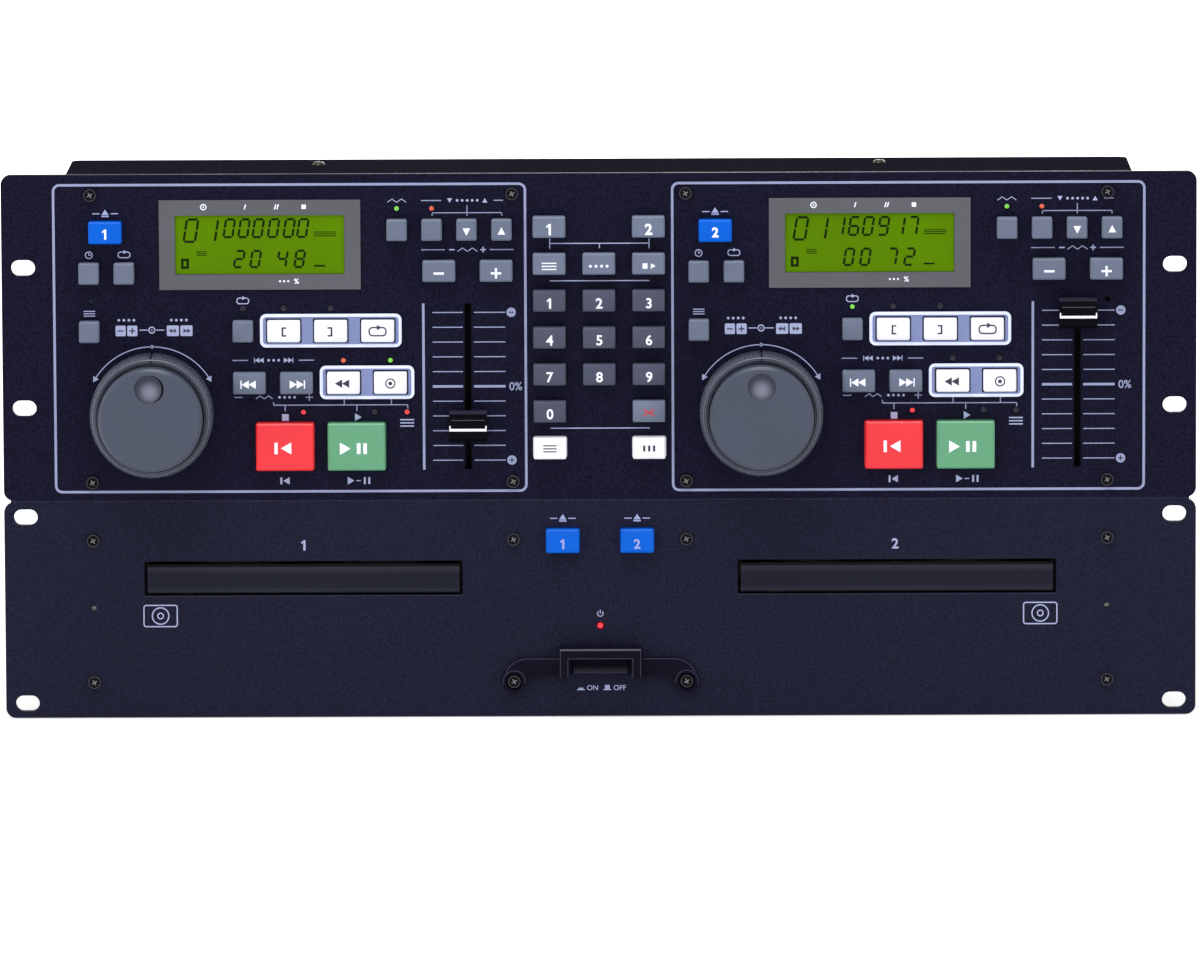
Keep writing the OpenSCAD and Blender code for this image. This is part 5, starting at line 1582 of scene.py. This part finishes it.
# %% [markdown]
# ## Lamps
#
# Each lamp is a small dome behind a hole in the panel. A disc is pulled out a little, then drawn
# in and pulled out again, so that it is round from the side. All lenses are dark plastic. A lit
# lamp has a bright core on top of its lens, because such a lens shows its light in the middle and
# stays dark round its rim. The power lamp glows most, and its whole lens is red.

# %% Indicator lamps
LAMP_RADIUS = 1.3
CORE_RADIUS = 0.9
POWER_LAMP_RADIUS = 1.5
POWER_CORE_RADIUS = 1.0
POWER_LAMP_Z = 37.5
# The steps of a dome are how far each one draws in and how far it rises, from where it starts.
LENS_START = -1.0
LENS = ((0, 1.15), (0.18, 0.2), (0.3, 0.1))
CORE_START = -0.1
CORE = ((0, 0.6), (0.2, 0.12), (0.3, 0.08))
LAMP_PLACES = {"pitch": (41.6, 118.9), "key": (55.7, 118.9), "loop": (-20.8, 78.4),
               "loop_in": (-4.3, 78.4), "loop_out": (14.7, 78.4), "reverse": (19.7, 57.3),
               "sample": (38.7, 57.3), "cue": (3.4, 36.2), "play": (32.2, 36.2),
               "sample_mode": (45.3, 36.2)}
LIT = {1: {"green": ("pitch", "sample"), "red": ("cue", "sample_mode"),
           "orange": ("key", "reverse")},
       2: {"green": ("pitch", "loop"), "red": ("cue",), "orange": ("key",)}}
LAMP_FINISHES = {
    "green": paint("lamp_green", (108, 200, 62), 0.25, grain=0.4, relief=0, coat=0.3, lit=0.5),
    "red": paint("lamp_red", (240, 44, 56), 0.25, grain=0.4, relief=0, coat=0.3, lit=0.7),
    "orange": paint("lamp_orange", (214, 84, 60), 0.25, grain=0.4, relief=0, coat=0.3, lit=0.5),
    "power": paint("power_red", (255, 34, 44), 0.25, grain=0.4, relief=0, coat=0.3, lit=2.0),
    "power_lens": paint("power_lens", (118, 12, 26), 0.3, grain=0.4, relief=0, shine=0.2, lit=0.5),
    "unlit": paint("lamp_unlit", (27, 26, 42), 0.25, grain=0.4, relief=0, shine=0.2, coat=0.2)}


def lamp(x, z, radius, start_out, steps):
    """A dome at x, z: a disc that is pulled out and drawn in step by step."""
    disc(x, z, radius, start_out, sides=24)
    for inset, rise in steps:
        pull(rise)
        draw_in(1 - inset / radius)


def lamps(name, finish_name, places, start_out, steps):
    """One piece of several lamps of one finish."""
    piece = start(name)
    for x, z, radius in places:
        lamp(x, z, radius, start_out, steps)
    finish(piece, "cabinet", LAMP_FINISHES[finish_name], crease=50)
    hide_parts("indicator_lamps")


def lamp_places(n, names, radius):
    """The place and the radius of each of those lamps of deck n."""
    places = [LAMP_PLACES[name] for name in names]
    return [(deck_x(n, x), deck_z(z), radius) for x, z in places]


for n in DECKS:
    lamps(f"lenses_{n}", "unlit", lamp_places(n, LAMP_PLACES, LAMP_RADIUS), LENS_START, LENS)
    for colour, names in LIT[n].items():
        lamps(f"lamps_{colour}_{n}", colour, lamp_places(n, names, CORE_RADIUS), CORE_START, CORE)
lamps("power_lens", "power_lens", [(0, POWER_LAMP_Z, POWER_LAMP_RADIUS)], LENS_START, LENS)
lamps("power_lamp", "power", [(0, POWER_LAMP_Z, POWER_CORE_RADIUS)], CORE_START, CORE)

# %% [markdown]
# ## Shuttle rings
#
# A shuttle ring is turned plastic with a fine knurl round its side, a chamfer in front and a
# groove at the top that shows where it rests. A cylinder of many sides is made, every other
# corner of it is drawn in for the knurl, and its front is stepped in by extruding it: first the
# chamfer, then the flat rim, then the pocket that the dial stands in. The hub is pulled out of
# the back in the same way. Last, the corners right at the top are pushed down for the groove.

# %% Shuttle rings
RING_RADIUS = 24.9
RING_BORE = 21.95
RING_BACK = 0.6
RING_FRONT = front_of("jog_ring_1")
RING_CHAMFER = 1.6
RING_LIP = RING_RADIUS - RING_CHAMFER
CORNER = 0.35
CORNER_RISE = 0.2
POCKET_FLOOR = 2.5
HUB_RADIUS = 6.0
HUB_DEPTH = 9.6
KNURL_SIDES = 288
KNURL = 0.7
NOTCH = 0.9
RIM_INSIDE = RING_BORE + 0.8


def turn_of(v, middle):
    """How many degrees a point is turned from straight up round a middle."""
    return math.degrees(math.atan2(v.x - middle[0], v.z - middle[2]))


def far(v, middle, radius):
    """True if a point is farther than radius, in millimetres, from a middle."""
    return math.hypot(v.x - middle[0], v.z - middle[2]) > radius * MM


def large_face(way):
    """A test for the ring's large faces: the front ones where way is -1, the back ones at 1."""
    return lambda _, face: face.normal.y * way > 0.9 and len(face.verts) > 100


def step(radius_from, radius_to, rise):
    """Extrudes what is selected, from one radius to another."""
    pull(rise)
    draw_in(radius_to / radius_from)


def shuttle_ring(n, x, z):
    """The ring itself, which stands for the frame's plain one."""
    middle = at(x, z)
    piece = start(f"shuttle_ring_{n}")
    depth = RING_FRONT - RING_CHAMFER - RING_BACK
    bpy.ops.mesh.primitive_cylinder_add(
        vertices=KNURL_SIDES, radius=RING_RADIUS * MM, depth=depth * MM,
        rotation=FRONTWARDS, location=at(x, z, RING_BACK + depth / 2))
    pick("verts", lambda v, _: round(turn_of(v, middle) * KNURL_SIDES / 360) % 2 == 1)
    draw_in(1 - KNURL / RING_RADIUS)

    pick("faces", large_face(-1))
    step(RING_RADIUS, RING_RADIUS - CORNER, CORNER_RISE)
    step(RING_RADIUS - CORNER, RING_LIP, RING_CHAMFER - CORNER_RISE)
    step(RING_LIP, RING_BORE, 0)
    step(1, 1, POCKET_FLOOR - RING_FRONT)
    pick("faces", large_face(1))
    step(RING_RADIUS, HUB_RADIUS, 0)
    step(1, 1, -HUB_DEPTH - RING_BACK)

    half_side = 0.5 * 360 / KNURL_SIDES
    pick("verts", lambda v, _: abs(turn_of(v, middle)) < half_side and far(v, middle, RIM_INSIDE))
    bpy.ops.transform.translate(value=(0, 0, -NOTCH * MM))
    finish(piece, f"jog_ring_{n}", ring_slate, crease=24)
    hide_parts(f"jog_ring_{n}")


print("a ring reaches", round(RING_FRONT, 2), "mm, with", KNURL_SIDES // 2, "ridges")

# %% [markdown]
# ### Edge, groove and shade of the rings
#
# The corner between the chamfer and the rim is painted pale as a highlight: a ring whose outer
# points are pushed back, so that it slopes like the chamfer. The groove's bottom is painted dark as
# shade: a thin bar along the side, with its front corner pushed back as well. The rim is painted
# dark as shade where it falls into the gap round the dial, and a short stroke on it points at the
# groove.

# %% Edge, groove and shade of the rings
LIP_EDGE = 0.35
EDGE_LIFT = 0.02
GROOVE = 0.42
GROOVE_SINK = 0.12
GROOVE_BACK = RING_BACK + 0.4
SHADE_RIM = 0.35
# A pale colour painted as the highlight on each ring's corner.
ring_edge_highlight = paint("ring_edge_highlight", (114, 120, 136), 0.3, grain=0.3, relief=0.1)


def ring_edge(n, x, z):
    """The corner, painted pale as a highlight."""
    piece = start(f"ring_edge_{n}")
    ring(x, z, RING_LIP + LIP_EDGE, LIP_EDGE, RING_FRONT + EDGE_LIFT, sides=96)
    pick("verts", lambda v, _: far(v, at(x, z), RING_LIP + LIP_EDGE / 2))
    bpy.ops.transform.translate(value=(0, LIP_EDGE * MM, 0))
    lay_ink(piece, f"jog_ring_{n}", ring_edge_highlight)


def ring_groove(n, x, z):
    """The bottom of the groove, painted dark as shade."""
    front_y = FACE - (RING_FRONT - 0.5) * MM
    piece = start(f"ring_groove_{n}")
    bar(x - GROOVE / 2, z + RING_LIP, x + GROOVE / 2, z + RING_RADIUS - GROOVE_SINK, GROOVE_BACK)
    pick_all_faces()
    pull(RING_FRONT - GROOVE_BACK)
    pick("verts", lambda v, _: far(v, at(x, z), RING_RADIUS - 0.5) and v.y < front_y)
    bpy.ops.transform.translate(value=(0, RING_CHAMFER * MM, 0))
    finish(piece, f"jog_ring_{n}", shade_black)


def ring_shade(n, x, z):
    """The shaded inner rim with its pointer."""
    piece = start(f"ring_shade_{n}")
    ring(x, z, RING_BORE + SHADE_RIM, SHADE_RIM, RING_FRONT, sides=96)
    stroke(x - 0.4, z + RING_BORE + 0.1, x + 0.3, z + RING_LIP - 0.05, 0.4, RING_FRONT)
    lay_ink(piece, f"jog_ring_{n}", shade_black)


for n in DECKS:
    for part in (shuttle_ring, ring_edge, ring_groove, ring_shade):
        part(n, deck_x(n, JOG_X), deck_z(JOG_Z))

# %% [markdown]
# ## Dials
#
# A dial has a hollow for one fingertip. Its skin is painted with shade round the mouth and with a
# highlight inside. The skin starts as a disc at the hollow's mouth and is pushed in and drawn
# together step by step along a ball's surface. It is given a thickness, so that it is a closed
# shell, and it turns with the dial. The palest spot of the painted highlight lies in the hollow, a
# little below its middle.

# %% Painted hollow of each dial
BALL = 9.5
HOLLOW_RADIUS = 5.65
HOLLOW_UP = 12.7
HOLLOW_STEPS = 8
PALE_DROP = 1.2
PALE_DEPTH = 1.4
PALE_SHARE = 0.15
SKIN = 0.06


def hollow_finish(n, middle):
    """A finish with painted shade round the hollow's mouth and a painted highlight inside it."""
    material = paint(f"hollow_finish_{n}", (50, 54, 70), 0.3, grain=0.3, speckle=0.05,
                     relief=0.03, shine=0.2, coat=0.1)
    tree = material.node_tree
    place = tree.nodes.new("ShaderNodeTexCoord")
    away = tree.nodes.new("ShaderNodeVectorMath")
    away.operation = "DISTANCE"
    away.inputs[1].default_value = middle
    tree.links.new(place.outputs["Object"], away.inputs[0])
    # Painted shade at the hollow's mouth, fading to a painted highlight a little below its middle.
    blend(material, away.outputs["Value"], HOLLOW_RADIUS, PALE_SHARE * HOLLOW_RADIUS,
          (136, 138, 158))
    return material


def hollow_skin(n):
    """The painted skin in the hollow of deck n's dial."""
    x, z, out = deck_x(n, JOG_X), deck_z(JOG_Z) + HOLLOW_UP, front_of(f"jog_dial_{n}")
    piece = start(f"dial_hollow_{n}")
    mouth = math.asin(HOLLOW_RADIUS / BALL)
    disc(x, z, HOLLOW_RADIUS, out, sides=64)
    for k in range(1, HOLLOW_STEPS):
        before, after = [mouth * (1 - part / HOLLOW_STEPS) for part in (k - 1, k)]
        pull(BALL * (math.cos(before) - math.cos(after)))
        draw_in(math.sin(after) / math.sin(before))
    bpy.ops.object.mode_set(mode="OBJECT")
    shell = piece.modifiers.new("shell", "SOLIDIFY")
    shell.thickness = SKIN * MM
    shell.offset = 1
    bpy.ops.object.modifier_apply(modifier=shell.name)
    bpy.ops.object.mode_set(mode="EDIT")
    pale = hollow_finish(n, at(x, z - PALE_DROP, out - PALE_DEPTH))
    finish(piece, f"jog_dial_{n}", pale, crease=50)


for n in DECKS:
    hollow_skin(n)

# %% [markdown]
# ## Fader caps
#
# A fader cap is a black block with a shallow valley for the fingertip, and a white line across
# the valley that shows the setting. The line is a bar with its ends turned up where it runs out
# over the cap's sides. Above it the valley's upper edge is painted pale as a highlight: a narrow
# bar of its own.

# %% White line on the fader caps
CAP_W = 15.2
STRIPE_FRONT = 12.3
STRIPE_DEPTH = 0.6
STRIPE_HALF = 0.5
STRIPE_END = 1.7
LINE_DROP = 0.9
EDGE_DROP = 2.6
EDGE_HALF = 0.15
EDGE_IN = 0.9
EDGE_OUT = front_of("fader_cap_1") - 0.27
# A pale bar painted as the highlight on the valley's upper edge.
cap_edge_highlight = paint("cap_edge_highlight", (78, 76, 92), 0.4, grain=0.3, speckle=0.1, relief=0.1)


def cap_line(n):
    """The white line and the painted highlight on the upper edge of one fader cap."""
    low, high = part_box(f"fader_cap_{n}")
    x = (low.x + high.x) / 2 / MM
    z = (low.z + high.z) / 2 / MM - LINE_DROP
    piece = start(f"fader_line_{n}")
    back = STRIPE_FRONT - STRIPE_DEPTH
    bar(x - CAP_W / 2 + 0.1, z - STRIPE_HALF, x + CAP_W / 2 - 0.1, z + STRIPE_HALF, back)
    for edge in (x - CAP_W / 2 + 0.35, x + CAP_W / 2 - 0.35):
        bar(edge - 0.25, z + STRIPE_HALF, edge + 0.25, z + STRIPE_END, back)
    weld()
    pull(STRIPE_DEPTH)
    finish(piece, f"fader_cap_{n}", white_ink)
    print("fader", n, "stands at z =", round(z, 1))
    piece = start(f"fader_edge_{n}")
    edge_z = high.z / MM - EDGE_DROP
    bar(x - CAP_W / 2 + EDGE_IN, edge_z - EDGE_HALF, x + CAP_W / 2 - EDGE_IN, edge_z + EDGE_HALF,
        EDGE_OUT)
    lay_ink(piece, f"fader_cap_{n}", cap_edge_highlight)


for n in DECKS:
    cap_line(n)

# %% [markdown]
# ## The rear
#
# The line sockets are colour coded as everywhere: red for the right channel and white for the
# left one. A coded collar is a short tube round the socket's barrel. It is a ring that is
# pulled out of the back by two millimetres.

# %% Collars of the line sockets
BACK = max(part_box("drive_chassis")[1].y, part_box("drive_top_cover")[1].y)
SOCKET_X = (-60, -44, -28, 28, 44, 60)
SOCKET_Z = 30
COLLAR_OUTSIDE = 5.9
COLLAR_WALL = 1.6
COLLAR_DEPTH = 2.0
code_red = paint("code_red", (176, 30, 34), 0.4, grain=0.3, relief=0.15)
code_white = paint("code_white", (222, 222, 216), 0.4, grain=0.3, speckle=0.04, relief=0.15)


def collars(name, places, material):
    """A collar round each of those sockets."""
    piece = start(name)
    back_out = (FACE - BACK) / MM
    for x in places:
        ring(x, SOCKET_Z, COLLAR_OUTSIDE, COLLAR_WALL, back_out)
    pick_all_faces()
    pull(-COLLAR_DEPTH)
    finish(piece, "cabinet", material)


collars("collars_white", SOCKET_X[0::2], code_white)
collars("collars_red", SOCKET_X[1::2], code_red)

# %% [markdown]
# ## The guard of the power button
#
# The guard is one moulding: a hood over the button, and two arms that curve down to the screws.
# The frame gives its form with sharp edges. A moulding has soft ones, and they are what shows in
# the picture as fine bright lines, so the guard is copied, its triangles are joined to whole
# faces, and its edges get a narrow bevel.

# %% Softened guard
EDGE = 0.35


def soft_copy(node, name, body, material, width=EDGE):
    """A copy of a node with bevelled edges, that stands for it."""
    piece = start_copy(node, name)
    bpy.ops.mesh.dissolve_limited(angle_limit=math.radians(2))
    bpy.ops.object.mode_set(mode="OBJECT")
    soften = piece.modifiers.new("soften", "BEVEL")
    soften.width = width * MM
    soften.segments = 2
    soften.limit_method = "ANGLE"
    soften.angle_limit = math.radians(40)
    bpy.ops.object.modifier_apply(modifier=soften.name)
    bpy.ops.object.mode_set(mode="EDIT")
    finish(piece, body, material)
    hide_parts(node)


soft_copy("power_guard", "power_guard_soft", "cabinet", black_plastic)

# %% [markdown]
# ### A painted highlight on the hood's edge
#
# The upper front edge of the hood is painted pale as a highlight. It is a narrow bar, laid on the
# hood's front.

# %% Painted highlight on the guard's edge
HOOD_OUT = front_of("power_guard")
HOOD_HALF = 16.85
HOOD_TOP = 29.5
HOOD_FOOT = 17.6
# A painted highlight along the hood's upper front edge.
hood_edge_highlight = paint("hood_edge_highlight", (92, 92, 106), 0.5, grain=0.3, speckle=0.2, relief=0.1)

piece = start("guard_edges")
bar(-HOOD_HALF + 0.5, HOOD_TOP - 1.1, HOOD_HALF - 0.5, HOOD_TOP - 0.4, HOOD_OUT)
lay_ink(piece, "cabinet", hood_edge_highlight)

# %% [markdown]
# ### Dimmer highlights
#
# The other edges of the guard get dimmer painted highlights: the rim of the opening, the hood's
# sides, and the upper edge of each arm, which runs level, sweeps down along an arc, and ends round
# the boss.

# %% Dim painted highlights on the guard's edges
OPENING_HALF = 13.0
OPENING_TOP = 25.0
ARM_OUT = 2.5
ARM_TOP = 24.4
SWEEP = 9.4
BEND_X = 29.9
BOSS_X = 35
BOSS_Z = 15
BOSS_RADIUS = 4.7
BOSS_OUT = 3.0
# Dimmer painted highlights along the guard's other edges.
dim_edge_highlight = paint("dim_edge_highlight", (58, 58, 84), 0.5, grain=0.3, speckle=0.2, relief=0.1)


def arm_point(way, turn):
    """A point on the arm's curved upper edge, turned so many degrees from straight up."""
    reach = SWEEP - 0.2
    angle = math.radians(turn)
    return way * (BEND_X + reach * math.sin(angle)), BOSS_Z + reach * math.cos(angle)


piece = start("arm_edges")
bar(-OPENING_HALF, OPENING_TOP + 0.05, OPENING_HALF, OPENING_TOP + 0.3, HOOD_OUT)
for way in (-1, 1):
    bar(way * (OPENING_HALF + 0.05), HOOD_FOOT, way * (OPENING_HALF + 0.3), OPENING_TOP + 0.3,
        HOOD_OUT)
    bar(way * (HOOD_HALF - 0.5), HOOD_FOOT, way * (HOOD_HALF - 0.75), HOOD_TOP - 1.1, HOOD_OUT)
    bar(way * (HOOD_HALF + 0.1), ARM_TOP - 0.35, way * BEND_X, ARM_TOP - 0.05, ARM_OUT)
    for turn in range(0, 66, 11):
        stroke(*arm_point(way, turn), *arm_point(way, turn + 11.5), 0.3, ARM_OUT)
    arc(way * BOSS_X, BOSS_Z, BOSS_RADIUS - 0.1, 0.25, 100, BOSS_OUT)
lay_ink(piece, "cabinet", dim_edge_highlight)

# %% [markdown]
# ### The button's foot
#
# The hood shades the upper part of the power button, and the foot of its front is lit. So its front
# gets a band of painted light and shade, which fades from a pale painted highlight at the foot to
# black painted shade. The box of the node also counts the button's rim behind the panel, which is
# subtracted to find the foot.

# %% Painted light and shade on the power button
BUTTON_HALF = 11.0
BUTTON_BAND = 2.8
BUTTON_RIM = 1.2
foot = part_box("power_button")[0].z / MM + BUTTON_RIM
button_light_and_shade = paint("button_light_and_shade", (9, 7, 20), 0.4, grain=0.3, speckle=0.1, relief=0.1, shine=0.1)
# A painted highlight at the foot that fades up into painted shade under the hood.
fade(button_light_and_shade, foot + BUTTON_BAND - 0.3, foot + 0.4, (52, 50, 64))

piece = start("button_edge")
bar(-BUTTON_HALF, foot + 0.05, BUTTON_HALF, foot + BUTTON_BAND, front_of("power_button"))
lay_ink(piece, "power_button", button_light_and_shade)

# %% [markdown]
# ## The seam between the panels
#
# The controller stands on the drive, and their panels touch, so that one pale line shows where
# they meet. The frame keeps the rack's clearance between them. A thin strip fills it, painted
# paler than either panel as a highlight for that line: a flat bar, pulled back behind the face.

# %% Seam
SEAM_HALF = 238.6
SEAM_DEPTH = 2.0
SEAM_BACK = 0.25
# The strip is painted paler than both panels, as the highlight where their edges meet.
seam_highlight = paint("seam_highlight", (50, 50, 72), 0.5, grain=1.1, speckle=0.35, relief=0.2, shine=0.06)
seam_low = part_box("drive_front_panel")[1].z / MM
seam_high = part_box("control_front_panel")[0].z / MM
piece = start("panel_seam")
bar(-SEAM_HALF, seam_low, SEAM_HALF, seam_high, -SEAM_BACK)
pick_all_faces()
pull(-SEAM_DEPTH)
finish(piece, "cabinet", seam_highlight)
print("the seam is", round(seam_high - seam_low, 2), "mm high")

# %% [markdown]
# ### Edges of the disc slots
#
# The lower edge of each disc slot catches the light as well. It gets a narrow bar under the slot.

# %% Lit edges of the disc slots
SLOT_X = 120.2
SLOT_HALF = 64.5
SLOT_FOOT = 50.3
slot_lit = paint("slot_lit", (54, 56, 74), 0.5, grain=1.1, speckle=0.2, relief=0.2, shine=0.06)

piece = start("slot_edges")
for way in (-1, 1):
    middle = way * SLOT_X
    bar(middle - SLOT_HALF, SLOT_FOOT - 0.4, middle + SLOT_HALF, SLOT_FOOT - 0.05)
lay_ink(piece, "cabinet", slot_lit)

# %% [markdown]
# ## Screws
#
# The panels' screws are black pan heads with a cross recess. Their rims and the walls of the
# recess get painted highlights. The rim is a thin pale ring on the head, the face inside it a dark
# disc, and the recess two crossed strokes, painted pale as glints.

# %% Screw heads
HEAD_RADIUS = 2.6
HEAD_RISE = 1.7
CROSS_REACH = 1.1
GUARD_SEAT = 1.2
OUTER_SCREW_X = 205.3
INNER_SCREW_X = 35
DRIVE_SCREWS_Z = (15, 73)
CONTROL_SCREWS_Z = (96.7, 213.7)
OUTER_SCREWS = [(OUTER_SCREW_X, z) for z in DRIVE_SCREWS_Z + CONTROL_SCREWS_Z]
INNER_SCREWS = [(INNER_SCREW_X, z) for z in DRIVE_SCREWS_Z[1:] + CONTROL_SCREWS_Z]
PANEL_SCREWS = [(way * x, z, HEAD_RISE) for way in (-1, 1) for x, z in OUTER_SCREWS + INNER_SCREWS]
GUARD_SCREWS = [(way * INNER_SCREW_X, DRIVE_SCREWS_Z[0], HEAD_RISE + GUARD_SEAT)
                for way in (-1, 1)]
# Pale painted highlights on the rims, and painted glints in the recesses.
screw_rim_highlight = paint("screw_rim_highlight", (66, 66, 76), 0.4, 0.2, grain=0.3, speckle=0.3, relief=0.3)
screw_cross_glint = paint("screw_cross_glint", (146, 144, 147), 0.4, 0.2, grain=0.3, speckle=0.3,
                       relief=0.2)
recess_black = paint("recess_black", (8, 8, 10), 0.6, grain=0.3, relief=0.2, shine=0.1)

piece = start("screw_rims")
for x, z, out in PANEL_SCREWS + GUARD_SCREWS:
    ring(x, z, HEAD_RADIUS - 0.1, 0.3, out, sides=32)
lay_ink(piece, "cabinet", screw_rim_highlight)

piece = start("screw_recesses")
for x, z, out in PANEL_SCREWS + GUARD_SCREWS:
    disc(x, z, HEAD_RADIUS - 0.4, out, sides=28)
lay_ink(piece, "cabinet", recess_black)

piece = start("screw_crosses")
for x, z, out in PANEL_SCREWS + GUARD_SCREWS:
    for turn in (30, 120):
        dx = CROSS_REACH * math.cos(math.radians(turn))
        dz = CROSS_REACH * math.sin(math.radians(turn))
        stroke(x - dx, z - dz, x + dx, z + dz, 0.35, out + INK)
lay_ink(piece, "cabinet", screw_cross_glint)
